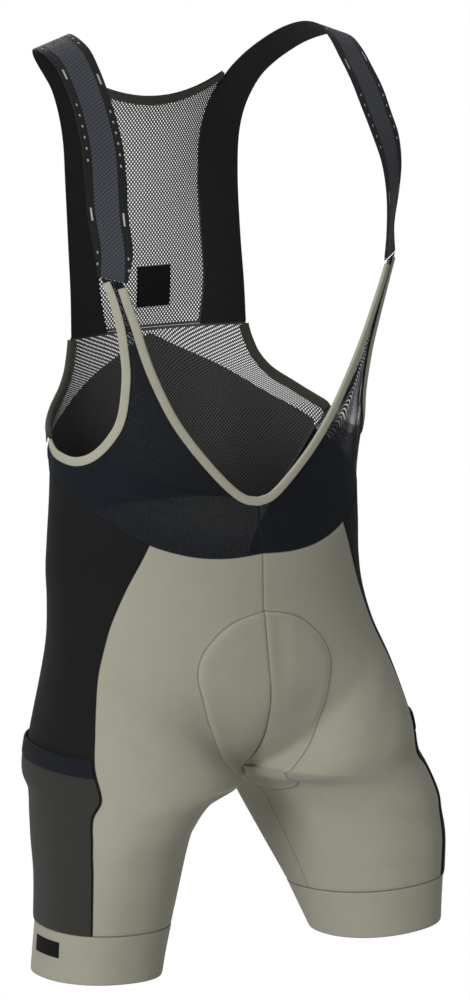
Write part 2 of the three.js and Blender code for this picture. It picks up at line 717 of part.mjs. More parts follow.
const SPINE = table(['height', 'y'], [[401, 102.5], [444, 97], [520, 97], [616, 95], [650, 88]]);
const NECK_DROOP = 22;
const UPPER_BACK_EASE = 0.3;
const UPPER_BACK_ROWS = 13;
const UPPER_BACK_COLUMNS = 8;
const LABEL = { halfWidth: 18, low: 422, high: 462, wall: 0.6 };

// The neck edge of the strap at a height on the back.
function strapNeckAt(height) {
  const { neck } = strapCurves();
  let low = 0.55;
  let high = 1;
  for (let i = 0; i < 30; i += 1) {
    const t = (low + high) / 2;
    if (neck.getPoint(t).z > height) low = t;
    else high = t;
  }
  return neck.getPoint(low);
}

function upperBackPoint(share, level, droop) {
  const edge = strapNeckAt(level);
  const hollow = (read(SPINE, 'height', level, 'y') - edge.y) * (1 - share ** 2);
  const x = (edge.x - UPPER_BACK_EASE) * share;
  return new THREE.Vector3(x, edge.y + hollow, level - droop * (1 - share ** 2));
}

const UPPER_BACK_TOP = 643;

function upperBackRow(v) {
  const level = mix(BACK_SEAM.height, UPPER_BACK_TOP, v);
  return range(UPPER_BACK_COLUMNS, (u) => upperBackPoint(2 * u - 1, level, NECK_DROOP * v ** 3));
}

function movedOut(rows, out) {
  const last = rows.length - 1;
  return rows.map((row, i) => row.map((p, j) => {
    const along = rows[Math.min(i + 1, last)][j].clone().sub(rows[Math.max(i - 1, 0)][j]);
    const across = row[Math.min(j + 1, row.length - 1)].clone().sub(row[Math.max(j - 1, 0)]);
    return p.clone().addScaledVector(along.cross(across).normalize(), out);
  }));
}

function upperBack() {
  const rows = range(UPPER_BACK_ROWS, upperBackRow);
  return wall('back_upper', rows, movedOut(rows, MESH_WALL), BACK_MESH, { crossing: true });
}

function backNeckBinding() {
  const rows = range(UPPER_BACK_ROWS, upperBackRow);
  const top = rows[UPPER_BACK_ROWS];
  const below = rows[UPPER_BACK_ROWS - 1];
  const outside = movedOut(rows, 1)[UPPER_BACK_ROWS];
  const stations = top.map((edge, i) => ({
    edge: edge.clone(),
    into: below[i].clone().sub(edge).normalize(),
    out: outside[i].clone().sub(edge).normalize(),
  }));
  const last = stations.length - 1;
  stations[0].edge.add(top[1].clone().sub(top[0]).setLength(CORNER_INSET));
  stations[last].edge.add(top[last - 1].clone().sub(top[last]).setLength(CORNER_INSET));
  return binding('back_neck_binding', stations, MESH_WALL, OLIVE);
}

function backLabel() {
  const rows = range(3, (v) => range(4, (u) => {
    const level = mix(LABEL.low, LABEL.high, v);
    const x = mix(-LABEL.halfWidth, LABEL.halfWidth, u);
    const share = x / strapNeckAt(level).x;
    return upperBackPoint(share, level, 0);
  }));
  return wall('back_label', movedOut(rows, -GAP - LABEL.wall), movedOut(rows, -GAP), BLACK);
}

// The garment

const garment = new THREE.Group();
garment.name = 'cycling_bib_shorts';
garment.position.z = -SHOULDER_HEIGHT;

// The mirror image of a piece, for the wearer's right side.
function mirrored(mesh, name, look) {
  const position = mesh.geometry.getAttribute('position');
  const index = mesh.geometry.getIndex().array;
  const points = range(position.count - 1, (_, i) => new THREE.Vector3().fromBufferAttribute(position, i));
  const faces = range(index.length / 3 - 1, (_, i) => Array.from(index.slice(3 * i, 3 * i + 3)));
  return solidFrom(name, points.map(mirror), faces, look);
}

function addPair(name, look, make) {
  const left = make(`${name}_L`, look);
  garment.add(left, mirrored(left, `${name}_R`, look));
}

addPair('front_leg', TAUPE, (name, look) => clothWall(name, frontLegPlaces(), 0, shortsOuter, look));
addPair('side_panel', BLACK, (name, look) => clothWall(name, sidePanelPlaces(), 0, SHORTS_WALL, look));
addPair('seat', TAUPE, (name, look) => clothWall(name, seatPlaces(), 0, shortsOuter, look));
addPair('leg_gripper', TAUPE, (name, look) => clothWall(name, gripperPlaces(), 0, BAND_WALL, look, { joined: true }));
addPair('leg_pocket', POCKET_GREY, (name, look) => {
  const outside = (place) => legPocketOut(place) + POCKET_WALL;
  return clothWall(name, legPocketPlaces(), legPocketOut, outside, look);
});
addPair('leg_pocket_hem', NAVY, (name, look) => {
  const outside = (place) => legPocketOut(place) + POCKET_WALL + 0.6;
  return clothWall(name, legPocketHemPlaces(), legPocketOut, outside, look);
});
addPair('bib_front', NAVY, (name, look) => clothWall(name, bibPlaces(), 0, MESH_WALL, look));
addPair('armhole_binding', BEIGE, (name, look) => (
  binding(name, edgeStations(outerEdge(), 1, CORNER_INSET, STRAP_INSET), MESH_WALL, look)));
addPair('back_armhole_binding', OLIVE, (name, look) => (
  binding(name, edgeStations(backArmholeEdge(), -1, CORNER_INSET, CORNER_INSET), MESH_WALL, look)));
addPair('strap', WEBBING, (name) => strap(name));

const outOfBack = MESH_WALL + REAR_STANDOFF;
garment.add(necklineBinding());
const outOfPocket = outOfBack + POCKET_WALL;
const crossing = { crossing: true };
garment.add(clothWall('back_lower', backLowerPlaces(), 0, MESH_WALL, BACK_MESH, crossing));
garment.add(clothWall('rear_pocket', rearPocketPlaces(), outOfBack, outOfPocket, NAVY, crossing));
garment.add(clothWall('rear_pocket_hem', rearHemPlaces(), outOfBack, outOfPocket + 0.6, NAVY, crossing));
TAPES.forEach((tape) => {
  const from = outOfPocket + GAP;
  addPair(`rear_tape_${tape.name}`, BLACK, (name, look) => (
    clothWall(name, tapePlaces(tape), from, from + TAPE_WALL, look)));
});
garment.add(upperBack());
garment.add(backNeckBinding());
garment.add(backLabel());
garment.add(pad());

// One small tab, on the outside of the right leg's band.
const tabOut = BAND_WALL + GAP;
const tabPlaces = patchPlaces(TAB.fromAngle, TAB.toAngle, TAB.low, TAB.high, 3, 2);
garment.add(mirrored(clothWall('hem_tab', tabPlaces, tabOut, tabOut + TAB.wall, BLACK), 'hem_tab', BLACK));

export default garment;
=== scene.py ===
# %% [markdown]
# # Cycling bib shorts
#
# Stretch shorts with cargo pockets and a padded seat hang from a see-through bib, two webbing straps and a
# mesh back. They are filled out as worn, and empty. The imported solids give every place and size; here each
# cloth becomes a finer shell with its knit, holes, seams and folds.

# %% Load the frame
import math

import bmesh
import bpy
import numpy as np
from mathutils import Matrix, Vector
from mathutils.bvhtree import BVHTree


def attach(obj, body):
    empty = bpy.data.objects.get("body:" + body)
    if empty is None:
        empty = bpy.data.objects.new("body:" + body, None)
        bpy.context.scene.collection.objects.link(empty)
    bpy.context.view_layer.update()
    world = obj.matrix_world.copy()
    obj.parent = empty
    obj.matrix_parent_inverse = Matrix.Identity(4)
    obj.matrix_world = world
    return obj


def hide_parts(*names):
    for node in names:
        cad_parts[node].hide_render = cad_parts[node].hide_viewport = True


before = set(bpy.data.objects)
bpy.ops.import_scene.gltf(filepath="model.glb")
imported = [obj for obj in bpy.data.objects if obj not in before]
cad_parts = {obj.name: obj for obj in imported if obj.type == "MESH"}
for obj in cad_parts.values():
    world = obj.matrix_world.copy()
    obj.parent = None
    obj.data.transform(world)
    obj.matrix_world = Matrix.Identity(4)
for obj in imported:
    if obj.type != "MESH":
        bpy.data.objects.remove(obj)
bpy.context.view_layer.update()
print("nodes in the frame:", len(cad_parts))

# %% [markdown]
# ## Camera
#
# A long lens from the front, a little to the wearer's right and above. It looks at the middle of the
# picture, so no lens shift is needed.

# %% Camera
AZIMUTH = math.radians(-30)
ELEVATION = math.radians(12)
DISTANCE = 4.0
TARGET = Vector((0.0265, -0.0153, -0.4424))
LENS = 150
SENSOR = 36

camera_data = bpy.data.cameras.new("camera")
camera_data.sensor_fit = "VERTICAL"
camera_data.sensor_height = SENSOR
camera_data.lens = LENS
camera = bpy.data.objects.new("camera", camera_data)
bpy.context.collection.objects.link(camera)
toward_camera = Vector((
    math.sin(AZIMUTH) * math.cos(ELEVATION),
    -math.cos(AZIMUTH) * math.cos(ELEVATION),
    math.sin(ELEVATION),
))
camera.location = TARGET + DISTANCE * toward_camera
camera.rotation_euler = (-toward_camera).to_track_quat("-Z", "Y").to_euler()
bpy.context.scene.camera = camera
print("camera at", [round(x, 3) for x in camera.location])

# %% [markdown]
# ## Light, floor and backdrop
#
# Soft panels light the garment from the front and the left, as in a studio. The world is white to the eye
# and dimmer as a light, so that folds keep their shade. The pale floor lies well below the hems, because a
# wearer would hold the garment up.

# %% Light and floor
FLOOR_HEIGHT = -1.02
FLOOR_SIZE = 30.0
FLOOR_GREY = (0.6, 0.6, 0.6, 1)
WORLD_LIGHT = 0.21
LIGHT_AIM = Vector((0, 0, -0.45))
LAMPS = [
    {"name": "key", "place": (-3.9, -2.3, 1.2), "size": 1.6, "power": 135},
    {"name": "fill", "place": (3.2, -1.6, 0.4), "size": 2.4, "power": 5},
    {"name": "top", "place": (0.2, 0.4, 2.6), "size": 2.0, "power": 14},
    {"name": "back", "place": (1.2, 3.4, 1.4), "size": 2.0, "power": 40},
]

for lamp in LAMPS:
    data = bpy.data.lights.new(lamp["name"], "AREA")
    data.size = lamp["size"]
    data.energy = lamp["power"]
    light = bpy.data.objects.new(lamp["name"], data)
    light.location = lamp["place"]
    light.rotation_euler = (LIGHT_AIM - light.location).to_track_quat("-Z", "Y").to_euler()
    bpy.context.collection.objects.link(light)


def split_for_camera(tree, lit, seen, output_type):
    """Lets light meet one shader and the camera see the other."""
    path = tree.nodes.new("ShaderNodeLightPath")
    blend = tree.nodes.new("ShaderNodeMixShader")
    output = tree.nodes.new(output_type)
    tree.links.new(path.outputs["Is Camera Ray"], blend.inputs["Fac"])
    tree.links.new(lit.outputs[0], blend.inputs[1])
    tree.links.new(seen.outputs[0], blend.inputs[2])
    tree.links.new(blend.outputs[0], output.inputs["Surface"])


world = bpy.data.worlds.new("studio")
world.use_nodes = True
bpy.context.scene.world = world
bpy.context.scene.view_settings.view_transform = "Standard"
tree = world.node_tree
tree.nodes.clear()
seen = tree.nodes.new("ShaderNodeBackground")
seen.inputs["Strength"].default_value = 1.0
lit = tree.nodes.new("ShaderNodeBackground")
lit.inputs["Strength"].default_value = WORLD_LIGHT
for background in (seen, lit):
    background.inputs["Color"].default_value = (1, 1, 1, 1)
split_for_camera(tree, lit, seen, "ShaderNodeOutputWorld")

floor_mesh = bmesh.new()
bmesh.ops.create_grid(floor_mesh, x_segments=1, y_segments=1, size=FLOOR_SIZE / 2)
bmesh.ops.translate(floor_mesh, verts=floor_mesh.verts, vec=(0, 0, FLOOR_HEIGHT))
floor_data = bpy.data.meshes.new("floor")
floor_mesh.to_mesh(floor_data)
floor_mesh.free()
floor = bpy.data.objects.new("floor", floor_data)
bpy.context.collection.objects.link(floor)

pale = bpy.data.materials.new("floor")
pale.use_nodes = True
tree = pale.node_tree
tree.nodes.clear()
matt = tree.nodes.new("ShaderNodeBsdfDiffuse")
matt.inputs["Color"].default_value = FLOOR_GREY
glow = tree.nodes.new("ShaderNodeEmission")
split_for_camera(tree, matt, glow, "ShaderNodeOutputMaterial")
floor_data.materials.append(pale)
print("lamps:", len(LAMPS))

# %% [markdown]
# ## The general figure
#
# The shorts are cut for a general figure, so the cloth follows one: ovals round the trunk, ovals round each
# leg, and a smooth turn from one to the other at the crotch. A place on it is an angle and a height. The
# angle is 0 at the middle of the front, 90 at the side and 180 at the middle of the back; below the crotch
# 0 is the inner thigh. Heights are in millimetres from the crotch.

# %% Tables and curves
SHOULDER_HEIGHT = 690
MILLIMETRE = 0.001


def table(columns, rows):
    return [dict(zip(columns, row)) for row in rows]


def read(rows, key, at, column):
    """A smooth curve through one column of a table, read at values of its key column."""
    x = np.array([row[key] for row in rows], float)
    y = np.array([row[column] for row in rows], float)
    if x[-1] < x[0]:
        x, y = x[::-1], y[::-1]
    at = np.clip(np.asarray(at, float), x[0], x[-1])
    i = np.clip(np.searchsorted(x, at) - 1, 0, len(x) - 2)
    low = np.maximum(np.arange(len(x)) - 1, 0)
    high = np.minimum(np.arange(len(x)) + 1, len(x) - 1)
    slope = (y[high] - y[low]) / (x[high] - x[low])
    step = x[i + 1] - x[i]
    t = (at - x[i]) / step
    bend = t * (1 - t) * step * ((1 - t) * slope[i] - t * slope[i + 1])
    return y[i] + (y[i + 1] - y[i]) * t * t * (3 - 2 * t) + bend


def smoothstep(x, low, high):
    t = np.clip((np.asarray(x, float) - low) / (high - low), 0, 1)
    return t * t * (3 - 2 * t)


def mix(a, b, t):
    return a + (b - a) * t


TORSO = table(["height", "half_width", "front", "back", "side_y", "front_power", "back_power"], [
    [0, 193, 124, 118, -46, 2.3, 2],
    [30, 190.5, 128, 126, -45, 2.3, 1.95],
    [60, 183, 127, 130, -42, 2.3, 1.95],
    [90, 174.5, 126, 130, -35, 2.25, 1.95],
    [125, 164, 120, 126, -21, 2.15, 1.98],
    [160, 159, 114.5, 118, -7, 2.1, 2.03],
    [190, 158.5, 113, 112, 0, 2.05, 2.05],
    [218, 158, 112, 106, 0, 2.05, 2.05],
    [270, 156, 104, 98, 0, 2.2, 2.05],
    [310, 156, 107, 97, 0, 2.45, 2.05],
    [355, 162, 110, 99, 0, 2.6, 2.05],
    [392, 171, 115, 102, 0, 2.6, 2.05],
    [443, 181, 125, 104, 0, 2.6, 2.05],
    [490, 187, 135, 106, 0, 2.6, 2.05],
])
LEG = table(["height", "x", "y", "half_width", "half_depth", "front_out"], [
    [-190, 157.5, -68, 56.5, 66, 0],
    [-160, 151.5, -65, 60, 71, 0.08],
    [-127, 144.5, -62, 63.5, 79, 0.145],
    [-90, 135.5, -55, 68.5, 90, 0.2],
    [-60, 127.5, -45, 72.5, 101, 0.2],
    [-40, 121.5, -40, 75.5, 108, 0.19],
    [-15, 108, -35, 84.5, 112, 0.13],
    [0, 96.5, -37, 96.5, 113, 0],
    [30, 95, -35, 94, 114, 0],
    [60, 91.5, -30, 89.5, 116, 0],
    [90, 87.3, -23.5, 84.5, 118, 0],
    [125, 82, -15, 77, 118, 0],
])
LEG_POWER = 2.2
LEG_TILT = {"from": -30, "to": -130, "forward": 0.1, "outward": 0.06}
RISE_HEIGHT = 90
HIP_HEIGHT = 120
CROTCH_ANGLE = 45

# %% Points of the figure


def oval(angle, half_width, half_depth, power):
    s = np.sin(angle)
    c = np.cos(angle)
    x = np.sign(s) * np.abs(s) ** (2 / power) * half_width
    y = -np.sign(c) * np.abs(c) ** (2 / power) * half_depth
    return x, y


def torso_section(angle, height):
    at = {column: read(TORSO, "height", height, column) for column in TORSO[0]}
    in_front = angle < 90
    depth = np.where(in_front, at["front"] + at["side_y"], at["back"] - at["side_y"])
    power = np.where(in_front, at["front_power"], at["back_power"])
    x, y = oval(np.radians(angle), at["half_width"], depth, power)
    return np.stack([x, y + at["side_y"], height], -1)


def leg_section(angle, height):
    at = {column: read(LEG, "height", height, column) for column in LEG[0]}
    depth, side = oval(np.radians(2 * angle), at["half_depth"], at["half_width"], LEG_POWER)
    tilt = smoothstep(-height, -LEG_TILT["from"], -LEG_TILT["to"])
    lean = LEG_TILT["forward"] * depth + LEG_TILT["outward"] * side
    turned = at["front_out"] * depth
    return np.stack([at["x"] + side + turned, at["y"] - depth, height + tilt * lean], -1)


def torso_share(angle, height):
    """How far a point has turned from the leg into the trunk."""
    rise = np.clip(height / RISE_HEIGHT, 0, 1)
    at_crotch = np.sqrt(1 - (1 - rise) ** 2)
    at_side = smoothstep(height, 0, HIP_HEIGHT)
    sideways = smoothstep(np.minimum(angle, 180 - angle), 0, CROTCH_ANGLE)
    share = mix(at_crotch, at_side, sideways)
    return np.where(height >= HIP_HEIGHT, 1, np.where(height <= 0, 0, share))


def figure(angle, height):
    """Points in millimetres from the crotch, on the wearer's left, for arrays of angles and heights."""
    angle, height = np.broadcast_arrays(np.asarray(angle, float), np.asarray(height, float))
    on_leg = height <= 0
    right = ~on_leg & ((angle < 0) | (angle > 180))
    folded = np.where(angle < 0, -angle, np.where(angle > 180, 360 - angle, angle))
    a = np.where(on_leg, angle % 180, folded)
    leg = leg_section(a, height)
    torso = torso_section(a, np.maximum(height, 0))
    point = mix(leg, torso, torso_share(a, height)[..., None])
    point[..., 0] *= np.where(right, -1, 1)
    return point


def unit(v):
    return v / np.maximum(np.linalg.norm(v, axis=-1, keepdims=True), 1e-9)


def normal(angle, height):
    across = figure(angle + 0.5, height) - figure(angle - 0.5, height)
    up = figure(angle, height + 1) - figure(angle, height - 1)
    return unit(np.cross(across, up))


def skin(angle, height, out):
    """The figure's points moved out by a distance."""
    return figure(angle, height) + normal(angle, height) * np.asarray(out, float)[..., None]


CHEST_HEIGHT = 443.0
half_chest = figure(np.linspace(0, 180, 91), CHEST_HEIGHT)
print("chest girth in mm:", round(2 * float(np.linalg.norm(np.diff(half_chest, axis=0), axis=1).sum())))

# %% [markdown]
# ## Making a cloth
#
# Every cloth starts as a flat bmesh grid, the way cloth starts flat on a table. Its points are moved onto
# the figure, the whole sheet is extruded for its thickness, and the kept sheet becomes its inner side. The
# grid keeps maps of the flat cloth: "cloth" is the place on it in metres, so a knit keeps its scale, and
# "edge" is the distance to the nearest seams, where cloth is turned in and stitched.

# %% Cloth from a grid
SEAM_DIP = {"depth": 0.5, "width": 1.0}
NEAR_SEAM = (0.005, 0.017)
KNIT_STRETCH = (1.12, 1.03)
FAR_FROM_EDGE = 0.05
LEAST_FLAT_SHARE = 0.31
made = {}


def shares(count, near=()):
    """Shares from 0 to 1, even, with a few more close to both ends."""
    even = np.linspace(0, 1, count + 1)
    return np.unique(np.concatenate([even, near, 1 - np.array(near)]))


def arcs(points):
    """Lengths along the rows and along the columns of a grid of points."""
    steps_u = np.linalg.norm(np.diff(points, axis=1), axis=2)
    steps_v = np.linalg.norm(np.diff(points, axis=0), axis=2)
    along_u = np.concatenate([np.zeros((points.shape[0], 1)), np.cumsum(steps_u, axis=1)], axis=1)
    along_v = np.concatenate([np.zeros((1, points.shape[1])), np.cumsum(steps_v, axis=0)], axis=0)
    return along_u, along_v


def grid_normals(points, ring):
    if ring:
        wide = np.concatenate([points[:, -2:-1], points, points[:, 1:2]], axis=1)
        across = (wide[:, 2:] - wide[:, :-2]) / 2
    else:
        across = np.gradient(points, axis=1)
    return unit(np.cross(across, np.gradient(points, axis=0)))


def layer_area(points):
    across = np.diff(points, axis=1)[:-1]
    up = np.diff(points, axis=0)[:, :-1]
    return float(np.linalg.norm(np.cross(across, up), axis=2).sum())


def object_from(bm, name, materials, smooth_angle=40):
    mesh = bpy.data.meshes.new(name)
    bm.to_mesh(mesh)
    bm.free()
    mesh.shade_smooth()
    mesh.set_sharp_from_angle(angle=math.radians(smooth_angle))
    for material in materials:
        mesh.materials.append(material)
    obj = bpy.data.objects.new(name, mesh)
    bpy.context.collection.objects.link(obj)
    return obj


def model_metres(points):
    return (points - [0, 0, SHOULDER_HEIGHT]) * MILLIMETRE


def cloth_shell(name, outer, inner, maps, materials, ring, inner_slot):
    """A closed shell between two grids of points, from one bmesh grid extruded through its thickness."""
    rows, columns = outer.shape[:2]
    bm = bmesh.new()
    layers = {key: bm.loops.layers.uv.new(key) for key in maps}
    place_of = bm.verts.layers.int.new("place")
    bmesh.ops.create_grid(bm, x_segments=columns - 1, y_segments=rows - 1, size=0.5)
    flat_outer = model_metres(outer).reshape(-1, 3)
    flat_inner = model_metres(inner).reshape(-1, 3)
    for vert in bm.verts:
        column = round((vert.co.x + 0.5) * (columns - 1))
        row = round((vert.co.y + 0.5) * (rows - 1))
        vert[place_of] = row * columns + column
        vert.co = flat_outer[vert[place_of]]
    for key, (first, second) in maps.items():
        first, second = first.ravel(), second.ravel()
        for face in bm.faces:
            for loop in face.loops:
                at = loop.vert[place_of]
                loop[layers[key]].uv = (first[at], second[at])
    if ring:
        bmesh.ops.remove_doubles(bm, verts=bm.verts, dist=0.00002)
    result = bmesh.ops.extrude_face_region(bm, geom=bm.faces[:], use_keep_orig=True)
    raised = {item for item in result["geom"] if isinstance(item, bmesh.types.BMVert)}
    for vert in bm.verts:
        if vert not in raised:
            vert.co = flat_inner[vert[place_of]]
    for face in bm.faces:
        if not any(vert in raised for vert in face.verts):
            face.material_index = inner_slot
    bmesh.ops.recalc_face_normals(bm, faces=bm.faces)
    if bm.calc_volume(signed=True) < 0:
        bmesh.ops.reverse_faces(bm, faces=bm.faces)
    bm.verts.layers.int.remove(place_of)
    return object_from(bm, name, materials)


def distance_to_cad(obj, node):
    """Largest distance in millimetres from the piece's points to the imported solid."""
    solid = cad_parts[node]
    bm = bmesh.new()
    bm.from_mesh(solid.data)
    bm.transform(solid.matrix_world)
    tree = BVHTree.FromBMesh(bm)
    bm.free()
    places = [vert.co for vert in obj.data.vertices]
    step = len(places) // 400 + 1
    return max(tree.find_nearest(place)[3] for place in places[::step]) / MILLIMETRE


def dress(obj, node=None):
    """Lets a piece ride on the garment and stand for its solid."""
    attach(obj, "root")
    note = ""
    if node:
        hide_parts(node)
        made[node] = obj
        note = f"{distance_to_cad(obj, node):.1f} mm from the solid at most"
    print(obj.name, len(obj.data.polygons), "faces", note)
    return obj


def cloth(node, place, across, along, wall, materials, slot, side="L", ring=False, inner_place=None,
          dip=SEAM_DIP["depth"], out=0.0, extra=None, stretch=KNIT_STRETCH, centred=False, soft="sheet",
          name=None, inner_slot=0):
    """One cut of cloth. place(u, v) gives the outer side's points in millimetres on the wearer's left."""
    v, u = np.meshgrid(along, across, indexing="ij")
    outer = place(u, v)
    wall = np.broadcast_to(np.asarray(wall, float), u.shape)
    inner = inner_place(u, v) if inner_place else None
    marks = extra(u, v) if extra else None
    if side == "R":
        flip = np.array([-1, 1, 1])
        outer = outer[:, ::-1] * flip
        inner = inner[:, ::-1] * flip if inner is not None else None
        marks = marks[:, ::-1] if marks is not None else None
    u_arc, v_arc = arcs(outer)
    sides = np.minimum(u_arc, u_arc[:, -1:] - u_arc)
    if ring:
        sides = sides * 0 + FAR_FROM_EDGE / MILLIMETRE
    ends = np.minimum(v_arc, v_arc[-1:] - v_arc)
    normals = grid_normals(outer, ring)
    if inner is None:
        nearest = np.minimum(sides, ends)
        sunk = out - dip * np.exp(-(nearest / SEAM_DIP["width"]) ** 2)
        outer = outer + normals * sunk[..., None]
        inner = outer - normals * wall[..., None]
    middle = u_arc[:, -1:] / 2 if centred else 0
    maps = {
        "cloth": ((u_arc - middle) * MILLIMETRE, v_arc * MILLIMETRE),
        "edge": (sides * MILLIMETRE, ends * MILLIMETRE),
    }
    if marks is not None:
        maps["pad"] = (marks * MILLIMETRE, marks * 0)
    obj = cloth_shell(name or "cloth_" + node, outer, inner, maps, materials, ring, inner_slot)
    width = float(u_arc[:, -1].max()) * MILLIMETRE / stretch[0]
    length = float(v_arc[-1].max()) * MILLIMETRE / stretch[1]
    if soft == "padded":
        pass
    else:
        area = layer_area(outer) * MILLIMETRE ** 2 / stretch[0] / stretch[1]
        area = min(max(area, LEAST_FLAT_SHARE * width * length), width * length)
    return dress(obj, node)


# %% [markdown]
# ## Materials
#
# Knit cloth is matt, with a soft sheen at its edges and fine courses that show as a small bump. The nets
# have real holes: an alpha pattern of staggered eyelets, measured on the flat cloth, so that it keeps its
# scale on the curved garment.

# %% Material helpers


def linear(red, green, blue):
    """A screen colour, 0 to 255, as the renderer's linear colour."""
    def channel(c):
        c = c / 255
        return c / 12.92 if c <= 0.04045 else ((c + 0.055) / 1.055) ** 2.4
    return (channel(red), channel(green), channel(blue))


def new_material(name, colour, roughness, sheen=0.0):
    material = bpy.data.materials.new(name)
    material.use_nodes = True
    shader = material.node_tree.nodes["Principled BSDF"]
    shader.inputs["Base Color"].default_value = (*colour, 1)
    shader.inputs["Roughness"].default_value = roughness
    shader.inputs["Sheen Weight"].default_value = sheen
    shader.inputs["Sheen Roughness"].default_value = 0.5
    shader.inputs["Specular IOR Level"].default_value = 0.2
    return material, material.node_tree, shader


def math_node(tree, operation, first, second=None):
    node = tree.nodes.new("ShaderNodeMath")
    node.operation = operation
    for socket, value in zip(node.inputs, (first, second)):
        if value is None:
            continue
        if isinstance(value, (int, float)):
            socket.default_value = value
        else:
            tree.links.new(value, socket)
    return node.outputs[0]


def map_axes(tree, map_name="cloth"):
    uv = tree.nodes.new("ShaderNodeUVMap")
    uv.uv_map = map_name
    split = tree.nodes.new("ShaderNodeSeparateXYZ")
    tree.links.new(uv.outputs[0], split.inputs[0])
    return split.outputs["X"], split.outputs["Y"]


def ramp(tree, value, low, high, at_low, at_high):
    node = tree.nodes.new("ShaderNodeMapRange")
    node.interpolation_type = "SMOOTHSTEP"
    node.inputs["From Min"].default_value = low
    node.inputs["From Max"].default_value = high
    node.inputs["To Min"].default_value = at_low
    node.inputs["To Max"].default_value = at_high
    tree.links.new(value, node.inputs["Value"])
    return node.outputs[0]


def wave(tree, along, pitch):
    """A sine along one direction of the cloth, one crest for each pitch in metres."""
    return math_node(tree, "SINE", math_node(tree, "MULTIPLY", along, 2 * math.pi / pitch))


def within(tree, value, low, high):
    above = math_node(tree, "GREATER_THAN", value, low)
    below = math_node(tree, "LESS_THAN", value, high)
    return math_node(tree, "MULTIPLY", above, below)


def shaded(tree, shader, colour, factor):
    """The colour times a factor that changes over the cloth."""
    scaled = tree.nodes.new("ShaderNodeVectorMath")
    scaled.operation = "SCALE"
    scaled.inputs[0].default_value = colour
    tree.links.new(factor, scaled.inputs["Scale"])
    tree.links.new(scaled.outputs[0], shader.inputs["Base Color"])


def drift(tree, amount, scale):
    """A factor near 1 that wanders over the cloth, as dye does."""
    noise = tree.nodes.new("ShaderNodeTexNoise")
    noise.inputs["Scale"].default_value = scale
    noise.inputs["Detail"].default_value = 4
    place = tree.nodes.new("ShaderNodeTexCoord")
    tree.links.new(place.outputs["Object"], noise.inputs["Vector"])
    return ramp(tree, noise.outputs["Fac"], 0.25, 0.75, 1 - amount, 1 + amount)


def bump(tree, shader, height, strength, distance):
    node = tree.nodes.new("ShaderNodeBump")
    node.inputs["Strength"].default_value = strength
    node.inputs["Distance"].default_value = distance
    tree.links.new(height, node.inputs["Height"])
    tree.links.new(node.outputs[0], shader.inputs["Normal"])


# %% Knit cloths
WALE = 0.0011
COURSE = 0.0009
SEAM_LINE = {"from": 0.0001, "to": 0.0010}
# Pad outline: painted shade darkens the groove ("dark") and a painted highlight lightens the ridge beside it
# ("light").
PAD_LINE_SHADING = {"half": 0.0011, "dark": 0.55, "ridge_highlight": 0.0028, "ridge_half": 0.0016, "light": 1.12}


def knit(name, colour, sheen=0.2, roughness=0.8, mottle=0.02, seam=0.0, pad_line_shading=False):
    """A jersey knit: rows of small loops, darker turned edges where panels meet, and painted shade and a painted
    highlight along the pad's outline.
    """
    material, tree, shader = new_material(name, colour, roughness, sheen)
    across, along = map_axes(tree)
    loops = math_node(tree, "MULTIPLY", wave(tree, across, WALE), wave(tree, along, COURSE))
    factor = drift(tree, mottle, 60)
    height = math_node(tree, "MULTIPLY", loops, 0.12)
    if seam:
        side, end = map_axes(tree, "edge")
        near = math_node(tree, "MINIMUM", side, end)
        line = ramp(tree, near, SEAM_LINE["from"], SEAM_LINE["to"], 1 - seam, 1)
        factor = math_node(tree, "MULTIPLY", factor, line)
    if pad_line_shading:
        # Pad outline: painted shade in the groove and a painted highlight on the ridge beside it, both also used
        # as bump.
        distance, _ = map_axes(tree, "pad")
        off = math_node(tree, "ABSOLUTE", distance)
        groove_shade = ramp(tree, off, 0.0001, PAD_LINE_SHADING["half"], PAD_LINE_SHADING["dark"], 1)
        factor = math_node(tree, "MULTIPLY", factor, groove_shade)
        from_ridge = math_node(tree, "ABSOLUTE", math_node(tree, "SUBTRACT", distance, PAD_LINE_SHADING["ridge_highlight"]))
        ridge_highlight = ramp(tree, from_ridge, 0.0002, PAD_LINE_SHADING["ridge_half"], PAD_LINE_SHADING["light"], 1)
        factor = math_node(tree, "MULTIPLY", factor, ridge_highlight)
        height = math_node(tree, "ADD", height, math_node(tree, "ADD", groove_shade, ridge_highlight))
    bump(tree, shader, height, 0.6, 0.0006)
    shaded(tree, shader, colour, factor)
    return material


TAUPE_COLOUR = linear(170, 168, 151)
TAUPE = knit("taupe_knit", TAUPE_COLOUR, seam=0.5, pad_line_shading=True)
GRIPPER = knit("gripper_elastic", TAUPE_COLOUR, seam=0.4)
BLACK = knit("black_knit", linear(20, 21, 21), sheen=0.04, seam=0.2)
POCKET_HEM = knit("pocket_hem", linear(22, 25, 33), sheen=0.04)
REAR_POCKET = knit("rear_pocket_knit", linear(40, 46, 60), sheen=0.05)
BEIGE = knit("beige_binding", linear(182, 180, 160), seam=0.3)
OLIVE = knit("dark_binding", linear(66, 67, 58), seam=0.3)
BLACK_TRIM = knit("black_trim", linear(13, 13, 14), sheen=0.02)
PAD_FOAM = knit("pad_foam", linear(120, 119, 106), sheen=0.3)

# %% [markdown]
# ## Pocket knit
#
# The cargo pocket is an open grey knit. Two short plain bars of pale film are pressed onto its lower half.

# %% Pocket material
POCKET_FILM = {"side_from": 0.030, "side_to": 0.046, "low": (0.018, 0.026), "high": (0.048, 0.056),
               "light": 1.6}


